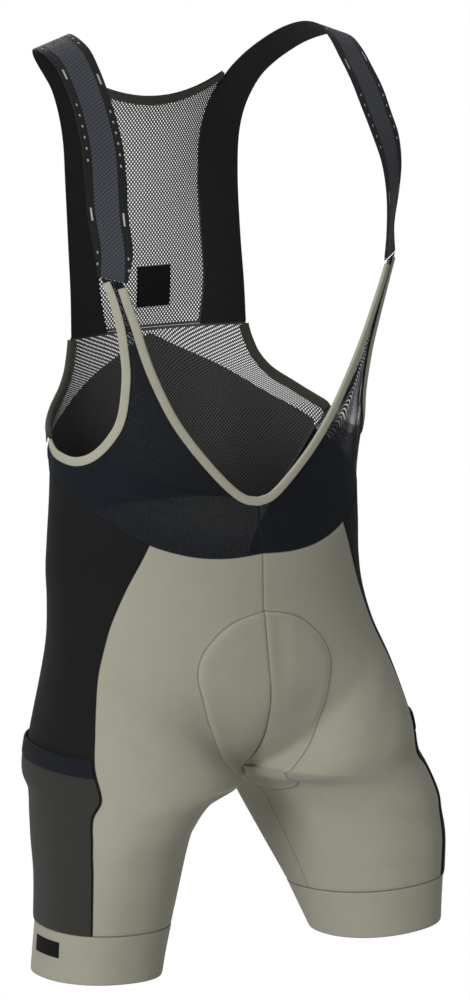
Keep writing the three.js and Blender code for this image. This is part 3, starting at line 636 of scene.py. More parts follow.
def pocket_knit():
    colour = linear(53, 54, 50)
    material, tree, shader = new_material("pocket_knit", colour, 0.8, 0.1)
    across, along = map_axes(tree)
    loops = math_node(tree, "MULTIPLY", wave(tree, across, 0.0016), wave(tree, along, 0.0016))
    bump(tree, shader, loops, 0.4, 0.0003)
    low = within(tree, along, *POCKET_FILM["low"])
    high = within(tree, along, *POCKET_FILM["high"])
    film = math_node(tree, "MAXIMUM", low, high)
    beside = within(tree, across, POCKET_FILM["side_from"], POCKET_FILM["side_to"])
    film = math_node(tree, "MULTIPLY", math_node(tree, "MULTIPLY", film, beside), POCKET_FILM["light"])
    factor = math_node(tree, "ADD", ramp(tree, loops, -1, 1, 0.85, 1.15), film)
    shaded(tree, shader, colour, factor)
    return material


POCKET = pocket_knit()

# %% Nets


def net(name, colour, pitch_across, pitch_along, open_above, border=0.0012):
    """A net: staggered eyelets, open where two crossing waves are high together, closed along its edges."""
    material, tree, shader = new_material(name, colour, 0.75, 0.05)
    across, along = map_axes(tree)
    eyelets = math_node(tree, "MULTIPLY", wave(tree, across, pitch_across), wave(tree, along, pitch_along))
    yarn = ramp(tree, eyelets, open_above - 0.06, open_above + 0.06, 1, 0)
    side, end = map_axes(tree, "edge")
    near = math_node(tree, "LESS_THAN", math_node(tree, "MINIMUM", side, end), border)
    tree.links.new(math_node(tree, "MAXIMUM", yarn, near), shader.inputs["Alpha"])
    bump(tree, shader, math_node(tree, "MULTIPLY", eyelets, -1), 0.5, 0.0003)
    return material


BACK_NET = net("back_mesh", linear(80, 81, 80), 0.0034, 0.0044, 0.27, border=0.0028)
BIB_NET = net("bib_mesh", linear(24, 29, 38), 0.0018, 0.0022, 0.27)

# %% [markdown]
# ## Webbing
#
# The strap is one woven elastic: a grey-blue ribbed middle between two black borders, with small pale
# plain bars and dots printed along the borders. The side against the shoulder is plain black.

# %% Webbing material
WEB = {"middle": linear(76, 79, 87), "deep": linear(48, 50, 57), "border": linear(24, 25, 26),
       "mark": linear(175, 175, 171), "pitch": 0.0038}
BORDER = {"from": 0.0112, "middle": 0.0149}
MARKS = {"start": 0.035, "repeat": 0.140, "bar_from": 0.088, "bar_to": 0.100, "bar_half": 0.0009,
         "dots_to": 0.066, "pitch": 0.011, "dot": 0.0024, "dot_half": 0.0007}


def colour_mix(tree, factor, first, second):
    node = tree.nodes.new("ShaderNodeMix")
    node.data_type = "RGBA"
    tree.links.new(factor, node.inputs["Factor"])
    colours = [socket for socket in node.inputs if socket.type == "RGBA"]
    for socket, value in zip(colours, (first, second)):
        if isinstance(value, tuple):
            socket.default_value = (*value, 1)
        else:
            tree.links.new(value, socket)
    return [socket for socket in node.outputs if socket.type == "RGBA"][0]


def webbing():
    material, tree, shader = new_material("strap_webbing", WEB["middle"], 0.7, 0.1)
    across, along = map_axes(tree)
    from_middle = math_node(tree, "ABSOLUTE", across)
    ribs = wave(tree, across, 0.0015)
    bump(tree, shader, math_node(tree, "ADD", ribs, wave(tree, along, 0.0016)), 0.5, 0.0002)
    border = math_node(tree, "GREATER_THAN", from_middle, BORDER["from"])
    shifted = math_node(tree, "ADD", along, MARKS["start"])
    repeat = math_node(tree, "FLOORED_MODULO", shifted, MARKS["repeat"])
    middle = BORDER["middle"]
    bar_side = within(tree, from_middle, middle - MARKS["bar_half"], middle + MARKS["bar_half"])
    bar = math_node(tree, "MULTIPLY", bar_side, within(tree, repeat, MARKS["bar_from"], MARKS["bar_to"]))
    dot = within(tree, math_node(tree, "FLOORED_MODULO", repeat, MARKS["pitch"]), 0.002, 0.002 + MARKS["dot"])
    dot_side = within(tree, from_middle, middle - MARKS["dot_half"], middle + MARKS["dot_half"])
    dot = math_node(tree, "MULTIPLY", math_node(tree, "MULTIPLY", dot, dot_side),
                    math_node(tree, "LESS_THAN", repeat, MARKS["dots_to"]))
    checks = math_node(tree, "MULTIPLY", wave(tree, across, WEB["pitch"]), wave(tree, along, WEB["pitch"]))
    middle_colour = colour_mix(tree, ramp(tree, checks, -0.6, 0.6, 0, 1), WEB["deep"], WEB["middle"])
    woven = colour_mix(tree, border, middle_colour, WEB["border"])
    printed = colour_mix(tree, math_node(tree, "MAXIMUM", bar, dot), woven, WEB["mark"])
    tree.links.new(printed, shader.inputs["Base Color"])
    return material


WEBBING = webbing()
STRAP_INSIDE = knit("strap_inside", linear(30, 31, 32), sheen=0.05)

# %% [markdown]
# ## Seams and the pad's outline
#
# The seams are short tables of angle and height. The pad lies under the cloth and lifts it by a couple of
# millimetres, so its outline shows; the lift is worked out from the distance to that outline. The knit adds
# painted shade in the groove along that outline and a painted highlight on the ridge beside it.

# %% Seam tables
GRIPPER_SEAM = -132
HEM_HEIGHT = -180
SHORTS_WALL = 1.4
BAND_WALL = 1.8
MESH_WALL = 1.1
NET_THICKNESS = 0.5
POCKET_WALL = 1.2
WEBBING_WALL = 1.6
GAP = 0.3
NET_OUT = GAP + NET_THICKNESS

WAIST_SEAM = table(["angle", "height"], [
    [0, 217], [12, 215.5], [25, 219], [41, 231], [54, 247], [65, 260], [80, 272], [95, 284], [111, 297],
])
FRONT_SIDE_SEAM = table(["height", "angle"], [
    [231, 41], [189, 50.5], [145, 60], [103, 65.5], [59, 70], [25, 71.5], [-14, 68.5], [-40, 65],
    [-74, 62.7], [-121, 62], [-190, 61.6],
])
BACK_SIDE_SEAM = table(["height", "angle"], [
    [319, 102], [297, 111], [276, 117.5], [250, 125], [222, 132], [168, 140], [120, 138], [60, 132],
    [10, 126], [-40, 121], [-90, 118], [-190, 116],
])
SEAT_TOP = {"corner_angle": 132, "corner": 222, "middle": 229}
PAD_FRONT = table(["height", "angle"], [
    [162, 0], [158, 7], [152, 12.5], [143, 17], [127, 22], [108, 23.5], [84, 22], [60, 21.5], [36, 21.5],
    [12, 22], [-8, 20], [-20, 15], [-29, 7], [-33, 0],
])
PAD_BACK = table(["height", "angle"], [
    [102, 0], [97, 14], [86, 23], [66, 28], [40, 28], [12, 25], [-8, 20], [-20, 15], [-29, 7], [-33, 0],
])
PAD_RELIEF = {"lift": 1.9, "from": -0.5, "to": 6.0}
PAD_FAR = 30.0


def front_seam(height):
    return read(FRONT_SIDE_SEAM, "height", height, "angle")


def back_seam(height):
    return read(BACK_SIDE_SEAM, "height", height, "angle")


def seat_top(angle):
    share = (180 - angle) / (180 - SEAT_TOP["corner_angle"])
    return mix(SEAT_TOP["middle"], SEAT_TOP["corner"], share ** 2)


def pad_distance(angle, height):
    """Millimetres inside the pad's outline, negative outside it."""
    distances = []
    for outline, towards in ((PAD_FRONT, 1), (PAD_BACK, -1)):
        place = angle if towards > 0 else 180 - angle
        reach = read(outline, "height", height, "angle")
        step = np.linalg.norm(figure(angle, height) - figure(angle + towards, height), axis=-1)
        inside = (reach - place) * step
        slant = np.abs(read(outline, "height", height + 2, "angle")
                       - read(outline, "height", height - 2, "angle")) / 4 * step
        inside = inside / np.sqrt(1 + slant ** 2)
        from_ends = np.minimum(outline[0]["height"] - height, height - outline[-1]["height"])
        inside = np.where(from_ends > 0, inside, np.minimum(inside, from_ends))
        distances.append(np.clip(inside, -PAD_FAR, PAD_FAR))
    return np.where(angle < 90, distances[0], distances[1])


def pad_lift(angle, height):
    return PAD_RELIEF["lift"] * smoothstep(pad_distance(angle, height), PAD_RELIEF["from"], PAD_RELIEF["to"])


# %% [markdown]
# ## Folds
#
# Stretched knit lies smooth, with a few soft creases where it turns: at the top of the thighs, beside the
# pad and above the gripper bands. Each row is one crease, with its place, length, width, turn and depth in
# millimetres, and each side has its own.

# %% Fold table
FOLDS = table(["side", "angle", "height", "length", "width", "turn", "depth"], [
    ["L", 27, 52, 48, 10, 50, -1.6],
    ["L", 34, -6, 60, 9, 8, -0.9],
    ["L", 4, 128, 34, 4, 88, -0.8],
    ["L", 9, 126, 28, 4, 80, 0.6],
    ["L", 52, 40, 50, 12, 60, -0.7],
    ["L", 150, -10, 55, 9, -10, -1.5],
    ["L", 140, -34, 40, 7, -4, -0.9],
    ["L", 30, -112, 40, 6, 5, -0.4],
    ["L", 100, -118, 36, 6, -6, -0.4],
    ["R", 28, 44, 44, 10, 55, -0.9],
    ["R", 30, -4, 52, 9, 12, -0.9],
    ["R", 44, -30, 48, 8, 18, -0.7],
    ["R", 56, 52, 46, 12, 55, -0.6],
    ["R", 148, -14, 60, 9, -8, -1.5],
    ["R", 136, -36, 44, 7, -12, -0.9],
    ["R", 34, -116, 44, 6, 8, -0.4],
    ["R", 108, -114, 34, 6, -4, -0.4],
])


def folds(angle, height, side):
    """How far the creases push the cloth in or out."""
    total = np.zeros(np.shape(angle))
    for row in FOLDS:
        if row["side"] != side:
            continue
        centre = figure(row["angle"], row["height"])
        step = np.linalg.norm(figure(row["angle"] + 1, row["height"]) - centre)
        x = (angle - row["angle"]) * step
        z = height - row["height"]
        turn = math.radians(row["turn"])
        along = x * math.cos(turn) + z * math.sin(turn)
        across = -x * math.sin(turn) + z * math.cos(turn)
        hollow = np.exp(-(across / row["width"]) ** 2)
        beside = 0.45 * np.exp(-((across - 2 * row["width"]) / row["width"]) ** 2)
        total += row["depth"] * (hollow - beside) * np.exp(-(along / row["length"]) ** 2)
    return total


# %% [markdown]
# ## Shorts panels
#
# Four kinds of panel make the shorts: front, side, seat and gripper band. The first three share one list of
# rows, closer together where the rise curves under the crotch, so that the seams meet row by row.

# %% Rows of the panels
BELOW_WAIST = 200
ROWS = {"leg": 34, "rise": 26, "hip": 28, "waist": 12}
LEG_HEIGHTS = np.concatenate([
    GRIPPER_SEAM + np.array([0, 0.7, 2.2]),
    np.linspace(GRIPPER_SEAM, 0, ROWS["leg"] + 1)[1:],
])
RISE_HEIGHTS = RISE_HEIGHT * (1 - np.cos(np.linspace(0, math.pi / 2, ROWS["rise"] + 1)))[1:]
HIP_HEIGHTS = np.linspace(RISE_HEIGHT, BELOW_WAIST, ROWS["hip"] + 1)[1:]
HEIGHTS = np.concatenate([LEG_HEIGHTS, RISE_HEIGHTS, HIP_HEIGHTS])
WAIST_SHARES = shares(ROWS["waist"], (0.97, 0.99))[1:]
PANEL_LEVELS = len(HEIGHTS) - 1 + len(WAIST_SHARES)
SEAM_CLEARANCE = 0.15


def panel_places(u, v, first, last, top):
    """Angles and heights of a panel between two seams, under its top edge."""
    row = np.rint(v * PANEL_LEVELS).astype(int)
    base = HEIGHTS[np.minimum(row, len(HEIGHTS) - 1)]
    share = np.concatenate([np.zeros(len(HEIGHTS)), WAIST_SHARES])[row]
    left = mix(base, top(0.0), share)
    right = mix(base, top(1.0), share)
    angle = mix(first(left), last(right), u)
    return angle, mix(base, top(u), share)


def shorts_panel(node, columns, first, last, top, side, material, slot, lifted=True):
    def place(u, v):
        angle, height = panel_places(u, v, first, last, top)
        out = SHORTS_WALL + folds(angle, height, side)
        if lifted:
            out = out + pad_lift(angle, height)
        point = skin(angle, height, out)
        near_middle = (height < RISE_HEIGHT) & (point[..., 0] < SEAM_CLEARANCE)
        point[..., 0] = np.where(near_middle, SEAM_CLEARANCE, point[..., 0])
        return point

    def pad_marks(u, v):
        return pad_distance(*panel_places(u, v, first, last, top))

    along = np.linspace(0, 1, PANEL_LEVELS + 1)
    return cloth(node, place, shares(columns, NEAR_SEAM), along, SHORTS_WALL, [material], slot, side,
                 extra=pad_marks if lifted else None)


def waist_between(first, last):
    return lambda u: read(WAIST_SEAM, "angle", mix(first, last, u), "height")


def seat_edge(u):
    return seat_top(mix(SEAT_TOP["corner_angle"], 180, u))


for side in ("R", "L"):
    shorts_panel(f"front_leg_{side}", 40, lambda h: 0 * h, front_seam, waist_between(0, 41), side,
                 TAUPE, "taupe_knit")
    shorts_panel(f"side_panel_{side}", 34, front_seam, back_seam, waist_between(41, 111), side,
                 BLACK, "black_knit", lifted=False)
    shorts_panel(f"seat_{side}", 40, back_seam, lambda h: 180 + 0 * h, seat_edge, side,
                 TAUPE, "taupe_knit")

# %% [markdown]
# ## Gripper bands, cargo pockets and tab
#
# A wide elastic band closes each leg. The pocket lies on the side panel between its two seams and stands
# off it a little in the middle, as a pocket with room in it does. Its mouth has a folded navy hem.

# %% Bands
BAND_COLUMNS = 96
BAND_ROWS = 16


def band_place(u, v):
    return skin(180 * u, mix(HEM_HEIGHT, GRIPPER_SEAM - GAP, v), BAND_WALL + 0 * u)


for side in ("R", "L"):
    rows = shares(BAND_ROWS, (0.015, 0.045))
    cloth(f"leg_gripper_{side}", band_place, shares(BAND_COLUMNS), rows, BAND_WALL, [GRIPPER], "gripper_elastic",
          side, ring=True)

# %% Cargo pockets
LEG_POCKET = {"mouth": 20, "hem": 16, "slope": -8, "clearance": 0.6, "bulge": 2, "margin": 0.6,
              "floor": GRIPPER_SEAM + 0.5}


def pocket_place(u, height, extra, wall):
    level = height + extra * LEG_POCKET["slope"] * u
    angle = mix(front_seam(level) + LEG_POCKET["margin"], back_seam(level) - LEG_POCKET["margin"], u)
    up = np.clip((level - GRIPPER_SEAM) / (LEG_POCKET["mouth"] - GRIPPER_SEAM), 0, 1)
    swell = np.sin(np.pi * u) * np.sqrt(up)
    lift = LEG_POCKET["clearance"] + LEG_POCKET["bulge"] * swell
    return skin(angle, level, SHORTS_WALL + lift + wall)


def pocket_body(u, v):
    return pocket_place(u, mix(LEG_POCKET["floor"], LEG_POCKET["mouth"] - GAP, v), v, POCKET_WALL)


def pocket_hem(u, v):
    return pocket_place(u, LEG_POCKET["mouth"] + LEG_POCKET["hem"] * v, 1, POCKET_WALL + 0.6)


for side in ("R", "L"):
    columns = shares(30, NEAR_SEAM)
    cloth(f"leg_pocket_{side}", pocket_body, columns, shares(44), POCKET_WALL, [POCKET], "pocket_knit",
          side)
    cloth(f"leg_pocket_hem_{side}", pocket_hem, columns, shares(8, (0.04, 0.1)), POCKET_WALL + 0.4,
          [POCKET_HEM], "pocket_hem", side)

# %% Hem tab
TAB = {"from": 78, "to": 94, "low": -157, "high": -142, "wall": 0.8}


def tab_place(u, v):
    out = BAND_WALL + GAP + TAB["wall"]
    return skin(mix(TAB["from"], TAB["to"], u), mix(TAB["low"], TAB["high"], v), out + 0 * u)


cloth("hem_tab", tab_place, shares(10, (0.05,)), shares(8, (0.06,)), TAB["wall"], [BLACK_TRIM], "black_trim",
      "R", stretch=(1, 1))

# %% [markdown]
# ## Pad
#
# One moulded pad lies inside across both legs, thick along the middle and thin at its rim, with two soft
# channels. Its rows run from the top of the front, under the crotch, to the top of the back.

# %% Pad inside the crotch
PAD_COLUMNS = ["i", "edge_angle", "middle_height", "edge_height"]
PAD_FRONT_ROWS = table(PAD_COLUMNS, [
    [0, 3, 160, 160], [1, 10, 154, 154], [2, 16.5, 144, 143], [3, 21.5, 130, 127], [4, 23, 112, 108],
    [5, 21.5, 88, 84], [6, 21, 64, 60], [7, 21, 42, 36], [8, 21, 24, 12], [9, 18, 10, -9], [10, 11, 2.5, -23],
    [11, 0, 0, -30],
])
PAD_BACK_ROWS = table(PAD_COLUMNS, [
    [11, 180, 0, -30], [12, 169, 2.5, -23], [13, 162, 10, -9], [14, 156, 24, 12], [15, 153, 42, 40],
    [16, 153, 62, 64], [17, 158, 80, 84], [18, 166, 92, 95], [19, 175, 98, 100],
])
PAD_SIZES = {"thick": 6.0, "rim": 1.4, "channel": 1.5, "clearance": 3.2, "sewn_from": 118, "sewn_to": 150}


def pad_place(u, v, depth):
    at = v * PAD_BACK_ROWS[-1]["i"]
    front = at < PAD_BACK_ROWS[0]["i"]
    share = np.abs(2 * u - 1)
    side = np.sign(np.round(2 * u - 1, 6))
    columns = {}
    for column in PAD_COLUMNS[1:]:
        columns[column] = np.where(front, read(PAD_FRONT_ROWS, "i", at, column),
                                   read(PAD_BACK_ROWS, "i", at, column))
    angle = mix(np.where(front, 0, 180), columns["edge_angle"], share)
    height = mix(columns["middle_height"], columns["edge_height"], share)
    sewn = smoothstep(height, PAD_SIZES["sewn_from"], PAD_SIZES["sewn_to"])
    point = skin(angle, height, -mix(PAD_SIZES["clearance"], GAP, sewn) - depth)
    point[..., 0] = side * np.maximum(point[..., 0], GAP)
    return point


def pad_outer(u, v):
    return pad_place(u, v, 0 * u)


def pad_inner(u, v):
    share = np.abs(2 * u - 1)
    channel = PAD_SIZES["channel"] * np.exp(-((share - 0.45) / 0.08) ** 2) * np.sin(np.pi * v) ** 0.5
    return pad_place(u, v, mix(PAD_SIZES["thick"], PAD_SIZES["rim"], share ** 3) - channel)


cloth("chamois_pad", pad_outer, shares(30), shares(76), 1.0, [PAD_FOAM], "pad_foam", inner_place=pad_inner,
      soft="padded")

# %% [markdown]
# ## Front bib
#
# Two mirror pieces of one see-through net meet at a centre seam, from the waist seam up to the neckline, and
# run up to the straps as narrow tops. A folded elastic binding closes the neckline and each armhole.

# %% Bib
BIB_ROWS = table(["i", "inner_angle", "inner_height", "outer_angle", "outer_height"], [
    [0, 0, 217, 111, 297], [1, 0, 231, 106, 308], [2, 0, 243, 102, 319], [3, 0, 253, 94, 312],
    [4, 0, 261, 86, 308.5], [5, 0, 268, 78, 308.5], [6, 4, 271.5, 70, 313], [7, 8.5, 283, 63, 322],
    [8, 15, 306, 57, 334], [9, 21, 329, 52, 348], [10, 27, 356, 48.5, 368], [11, 33, 393, 46, 394],
    [12, 36.5, 420, 46, 420], [13, 39, 443, 47, 443], [14, 42, 465, 49.5, 467], [15, 44.5, 484, 53, 488],
])
NECK_ROW = 5
ARMHOLE_ROW = 2
BIB_TOP = 15


def bib_edge(edge, corner, at):
    """Angle and height of one edge of the bib: straight up to its corner row, and smooth after it."""
    rows = np.arange(len(BIB_ROWS))
    result = []
    for part in ("_angle", "_height"):
        column = edge + part
        straight = np.interp(at, rows, [row[column] for row in BIB_ROWS])
        result.append(np.where(at >= corner, read(BIB_ROWS[corner:], "i", at, column), straight))
    return result


def bib_place(u, v):
    at = v * BIB_TOP
    inner_angle, inner_height = bib_edge("inner", NECK_ROW, at)
    outer_angle, outer_height = bib_edge("outer", ARMHOLE_ROW, at)
    bottom, bottom_end = BIB_ROWS[0]["inner_height"], BIB_ROWS[0]["outer_height"]
    waist_angle = mix(0, BIB_ROWS[0]["outer_angle"], u)
    sag = read(WAIST_SEAM, "angle", waist_angle, "height") - mix(bottom, bottom_end, u)
    height = mix(inner_height, outer_height, u) + sag * (1 - np.minimum(at / NECK_ROW, 1))
    return skin(mix(inner_angle, outer_angle, u), height, NET_OUT + 0 * u)


for side in ("R", "L"):
    cloth(f"bib_front_{side}", bib_place, shares(40), shares(75), NET_THICKNESS, [BIB_NET], "bib_mesh", side,
          dip=0)

# %% Bindings
BINDING = {"width": 6.5, "half": 1.9, "wall": 0.9, "middle": MESH_WALL / 2, "columns": 14}
BINDING_STRETCH = (1.0, 1.15)
STRAP_END = 14.78


def binding(node, curve, slot, material, inward, side="L", rows=160):
    """A folded elastic along an edge. curve(t) gives the edge's points and the way out of the cloth."""
    def place(u, v):
        stations = v[:, 0]
        edge, out = curve(stations)
        along = unit(np.gradient(edge, axis=0))
        into = unit(np.cross(out, along)) * inward
        width, half = BINDING["width"], BINDING["half"]
        straight = width / (2 * width + math.pi * half)
        around = (u[0] - straight) / (1 - 2 * straight)
        turn = np.clip(around, 0, 1) * math.pi
        reach = np.where(around < 0, -around, np.where(around > 1, around - 1, 0)) * (math.pi * half)
        x = reach - half * np.sin(turn)
        y = BINDING["middle"] + half * np.cos(turn)
        return edge[:, None] + into[:, None] * x[None, :, None] + out[:, None] * y[None, :, None]

    return cloth(node, place, shares(BINDING["columns"], (0.03,)), shares(rows), BINDING["wall"], [material],
                 slot, side, dip=0.3, stretch=BINDING_STRETCH)


def on_figure(angle, height):
    return figure(angle, height), normal(angle, height)


def neckline(t):
    """From the wearer's left strap to the right strap, for t from 0 to 1."""
    share = np.abs(1 - 2 * t)
    angle, height = bib_edge("inner", NECK_ROW, mix(NECK_ROW, STRAP_END, share))
    edge, out = on_figure(angle, height)
    flip = np.where(t > 0.5, -1, 1)
    edge[:, 0] *= flip
    out[:, 0] *= flip
    return edge, out


def front_armhole(t):
    angle, height = bib_edge("outer", ARMHOLE_ROW, mix(ARMHOLE_ROW + 0.1, STRAP_END, t))
    return on_figure(angle, height)


binding("neckline_binding", neckline, "beige_binding", BEIGE, 1, rows=240)
for side in ("R", "L"):
    binding(f"armhole_binding_{side}", front_armhole, "beige_binding", BEIGE, 1, side)

# %% [markdown]
# ## Back
#
# A lower net rises from the seat to a seam under the shoulder blades, and an upper net fills the space
# between the straps above it. Both are open: about a third of each is holes.

# %% Lower back
BACK_EDGE = table(["i", "angle", "height", "middle"], [
    [0, 132, 222, 229], [1, 125, 250, 253], [2, 117.5, 276, 274], [3, 111, 297, 292], [4, 106, 308, 302],
    [5, 102, 319, 311], [6, 105, 324, 317], [7, 111, 328.5, 323], [8, 118, 334.5, 329], [9, 125, 342, 337],
    [10, 131, 349, 345], [11, 136, 357, 353], [12, 141, 370, 366], [13, 144.5, 386, 383],
    [14, 146.5, 400, 400],
])
BACK_CORNER = 5
BACK_TOP = 14
BACK_SEAM_REACH = 0.8


def back_edge(at, column):
    low = read(BACK_EDGE[:BACK_CORNER + 1], "i", at, column)
    high = read(BACK_EDGE[BACK_CORNER:], "i", at, column)
    return np.where(at < BACK_CORNER, low, high)


def across_back(u, span):
    """Angles over the middle of the back, from the wearer's left to the right."""
    return 180 - span * (1 - 2 * u)


def back_lower_place(u, v):
    at = v * BACK_TOP
    share = np.abs(2 * u - 1)
    height = mix(back_edge(at, "middle"), back_edge(at, "height"), share ** 2)
    height = height + BACK_SEAM_REACH * smoothstep(v, 0.97, 1)
    return skin(across_back(u, 180 - back_edge(at, "angle")), height, NET_OUT + 0 * u)


def back_armhole(t):
    at = mix(BACK_CORNER + 0.1, BACK_TOP - 0.1, t)
    return on_figure(back_edge(at, "angle"), back_edge(at, "height"))


cloth("back_lower", back_lower_place, shares(70), shares(56), NET_THICKNESS, [BACK_NET], "back_mesh", dip=0,
      centred=True)
for side in ("R", "L"):
    binding(f"back_armhole_binding_{side}", back_armhole, "dark_binding", OLIVE, -1, side, rows=70)

# %% Rear pocket, hem and tapes
REAR_HEM = table(["share", "height"], [
    [0, 395], [0.13, 381], [0.26, 369], [0.38, 358], [0.49, 347], [0.6, 336], [0.72, 326], [0.86, 316],
    [1, 306],
])
REAR = {"margin": 0.6, "standoff": 0.9, "hem": 10}
TAPES = table(["name", "low_angle", "low_height", "high_angle", "high_height"], [
    ["middle", 174, 236, 174, 370], ["side", 139.5, 236, 163.5, 353],
])
TAPE = {"width": 11, "wall": 0.6, "inner_wall": 0.4, "sunk": 0.1}
OUT_OF_BACK = MESH_WALL + REAR["standoff"]


def rear_place(u, t, lift, out):
    edge_top = REAR_HEM[-1]["height"] - REAR["hem"]
    span = 180 - back_seam(mix(SEAT_TOP["corner"], edge_top, t)) - REAR["margin"]
    share = np.abs(2 * u - 1)
    angle = across_back(u, span)
    low = seat_top(180 - span * share) + 1
    high = read(REAR_HEM, "share", share, "height") - REAR["hem"]
    return skin(angle, mix(low, high, t) + lift, out + 0 * u)


def rear_pocket_place(u, v):
    return rear_place(u, v, 0, OUT_OF_BACK + POCKET_WALL)


def rear_hem_place(u, v):
    return rear_place(u, 1, REAR["hem"] * v, OUT_OF_BACK + POCKET_WALL + 0.6)


def tape_place(tape, out):
    def place(u, v):
        angle = mix(tape["low_angle"], tape["high_angle"], v)
        height = mix(tape["low_height"], tape["high_height"], v)
        step = np.linalg.norm(figure(angle + 1, height) - figure(angle, height), axis=-1)
        return skin(angle + (u - 0.5) * TAPE["width"] / step, height, out + 0 * u)
    return place


cloth("rear_pocket", rear_pocket_place, shares(60, NEAR_SEAM), shares(36), POCKET_WALL, [REAR_POCKET],
      "rear_pocket_knit", centred=True)
cloth("rear_pocket_hem", rear_hem_place, shares(60, NEAR_SEAM), shares(6, (0.05,)), POCKET_WALL + 0.6,
      [REAR_POCKET], "rear_pocket_knit", centred=True, stretch=(KNIT_STRETCH[0], 1))
for tape in TAPES:
    for side in ("R", "L"):
        grid = (shares(4, (0.05,)), shares(40))
        out = OUT_OF_BACK + POCKET_WALL + GAP + TAPE["wall"]
        cloth(f"rear_tape_{tape['name']}_{side}", tape_place(tape, out), *grid, TAPE["wall"], [BLACK_TRIM],
              "black_trim", side, stretch=(1, 1))
        cloth(None, tape_place(tape, OUT_OF_BACK - TAPE["sunk"]), *grid, TAPE["inner_wall"], [BLACK_TRIM],
              "black_trim", side, stretch=(1, 1), name=f"tape_inside_{tape['name']}_{side}")

# %% [markdown]
# ## Straps
#
# One webbing on each side runs from the bib, over the shoulder, to the seam across the back. Its two edges
# are curves through listed points; the webbing is stretched between them.

# %% Strap curves
STRAP_EDGES = table(["neck", "arm"], [
    [(137, -112, 511), (162, -84, 513)], [(139, -108, 546), (168, -83, 547)],
    [(137, -102, 576), (170, -83, 572)], [(133, -89, 604), (169, -79, 598)],
    [(131, -74, 627), (167, -69, 618)], [(130, -56, 651), (166, -55, 640)],
    [(129, -37, 671), (165, -37, 659)], [(129, -18, 688), (165, -18, 675)], [(130, 3, 697), (166, 5, 685)],
    [(127, 26, 699), (162, 32, 686)], [(117, 49, 692), (149, 58, 677)], [(103, 73, 676), (138, 71, 667)],
    [(90, 87, 660), (125, 82, 654)], [(78, 95, 643), (114, 89, 640)], [(66, 103, 617), (103, 96, 615)],
    [(59, 107, 588), (97, 99, 588)], [(57, 108, 549), (95, 99, 549)], [(58, 104, 490), (95, 94, 490)],
    [(58.5, 100, 440), (96, 88, 440)],
])
BACK_SEAM = {"height": 401, "neck_angle": 163, "arm_angle": 146.5}
STRAP_OVERHANG = 4


def strap_points(edge):
    top_inner = figure(BIB_ROWS[-1]["inner_angle"], BIB_ROWS[-1]["inner_height"])
    top_outer = figure(BIB_ROWS[-1]["outer_angle"], BIB_ROWS[-1]["outer_height"])
    across = unit(top_outer - top_inner) * STRAP_OVERHANG
    first = top_inner - across if edge == "neck" else top_outer + across
    last = figure(BACK_SEAM[edge + "_angle"], BACK_SEAM["height"])
    return np.array([first, *[row[edge] for row in STRAP_EDGES], last], float)


def through(points, t):
    """A centripetal curve through points, so that it neither loops nor swings out between them."""
    padded = np.concatenate([[2 * points[0] - points[1]], points, [2 * points[-1] - points[-2]]])
    at = np.clip(t, 0, 1) * (len(points) - 1)
    i = np.minimum(at.astype(int), len(points) - 2)
    p = [padded[i + k] for k in range(4)]
    gap = [np.sqrt(np.linalg.norm(p[k + 1] - p[k], axis=-1))[..., None] for k in range(3)]
    start = (p[1] - p[0]) / gap[0] - (p[2] - p[0]) / (gap[0] + gap[1]) + (p[2] - p[1]) / gap[1]
    end = (p[2] - p[1]) / gap[1] - (p[3] - p[1]) / (gap[1] + gap[2]) + (p[3] - p[2]) / gap[2]
    start, end = start * gap[1], end * gap[1]
    w = (at - i)[..., None]
    c2 = -3 * p[1] + 3 * p[2] - 2 * start - end
    c3 = 2 * p[1] - 2 * p[2] + start + end
    return p[1] + w * (start + w * (c2 + w * c3))


NECK_EDGE = strap_points("neck")
ARM_EDGE = strap_points("arm")


def strap_place(u, v):
    return mix(through(NECK_EDGE, v), through(ARM_EDGE, v), u[..., None])


STRAP_NEAR = (0.02, 0.06)
for side in ("R", "L"):
    cloth(f"strap_{side}", strap_place, shares(12, STRAP_NEAR), shares(150), WEBBING_WALL - 0.3,
          [WEBBING, STRAP_INSIDE], "strap_webbing", side, out=-0.1, dip=0.3, centred=True,
          stretch=(1.0, 1.1), inner_slot=1)

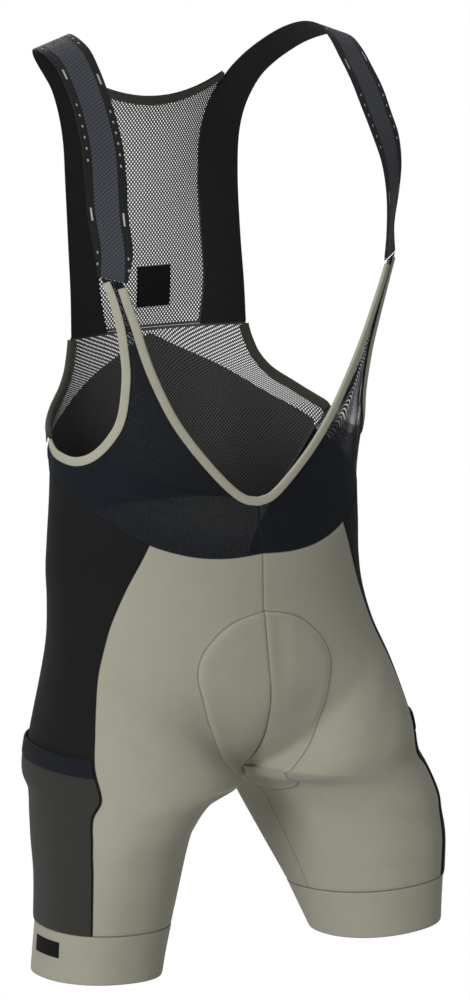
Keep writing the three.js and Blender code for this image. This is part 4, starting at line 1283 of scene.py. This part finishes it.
# %% Upper back
SPINE = table(["height", "y"], [[401, 102.5], [444, 97], [520, 97], [616, 95], [650, 88]])
UPPER_BACK = {"droop": 22, "ease": -1.2, "top": 643}
LABEL = {"half": 18, "low": 422, "high": 462, "wall": 0.6}
BACK_NECK = {"reach": 0.975, "step": 4}
NECK_SAMPLES = through(NECK_EDGE, np.linspace(0.55, 1, 600))


def neck_edge_at(level):
    height = NECK_SAMPLES[::-1, 2]
    x = np.interp(level, height, NECK_SAMPLES[::-1, 0])
    y = np.interp(level, height, NECK_SAMPLES[::-1, 1])
    return x, y


def upper_back_point(share, level, droop):
    x, y = neck_edge_at(level)
    bow = 1 - share ** 2
    hollow = (read(SPINE, "height", level, "y") - y) * bow
    return np.stack([(x - UPPER_BACK["ease"]) * share, y + hollow, level - droop * bow], -1)


def upper_back_place(u, v):
    level = mix(BACK_SEAM["height"], UPPER_BACK["top"], v)
    return upper_back_point(1 - 2 * u, level, UPPER_BACK["droop"] * v ** 3)


def label_place(u, v):
    level = mix(LABEL["low"], LABEL["high"], v)
    x = mix(LABEL["half"], -LABEL["half"], u)
    return upper_back_point(x / neck_edge_at(level)[0], level, 0 * u)


def back_neck(t):
    level = np.full(t.shape, float(UPPER_BACK["top"]))
    share = mix(BACK_NECK["reach"], -BACK_NECK["reach"], t)
    edge = upper_back_point(share, level, UPPER_BACK["droop"])
    lower = 1 - BACK_NECK["step"] / (UPPER_BACK["top"] - BACK_SEAM["height"])
    below = upper_back_point(share, level - BACK_NECK["step"], UPPER_BACK["droop"] * lower ** 3)
    out = unit(np.cross(np.gradient(edge, axis=0), edge - below))
    return edge, out


cloth("back_upper", upper_back_place, shares(50), shares(100), NET_THICKNESS, [BACK_NET], "back_mesh",
      out=NET_OUT, dip=0, centred=True)
cloth("back_label", label_place, shares(12, (0.03,)), shares(12, (0.03,)), LABEL["wall"], [BLACK_TRIM],
      "black_trim", out=-GAP, dip=0.2, stretch=(1, 1))
binding("back_neck_binding", back_neck, "dark_binding", OLIVE, 1, rows=90)

# %% [markdown]
# ## Finish

# %% Finish
print("solids still shown:", [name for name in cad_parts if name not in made])
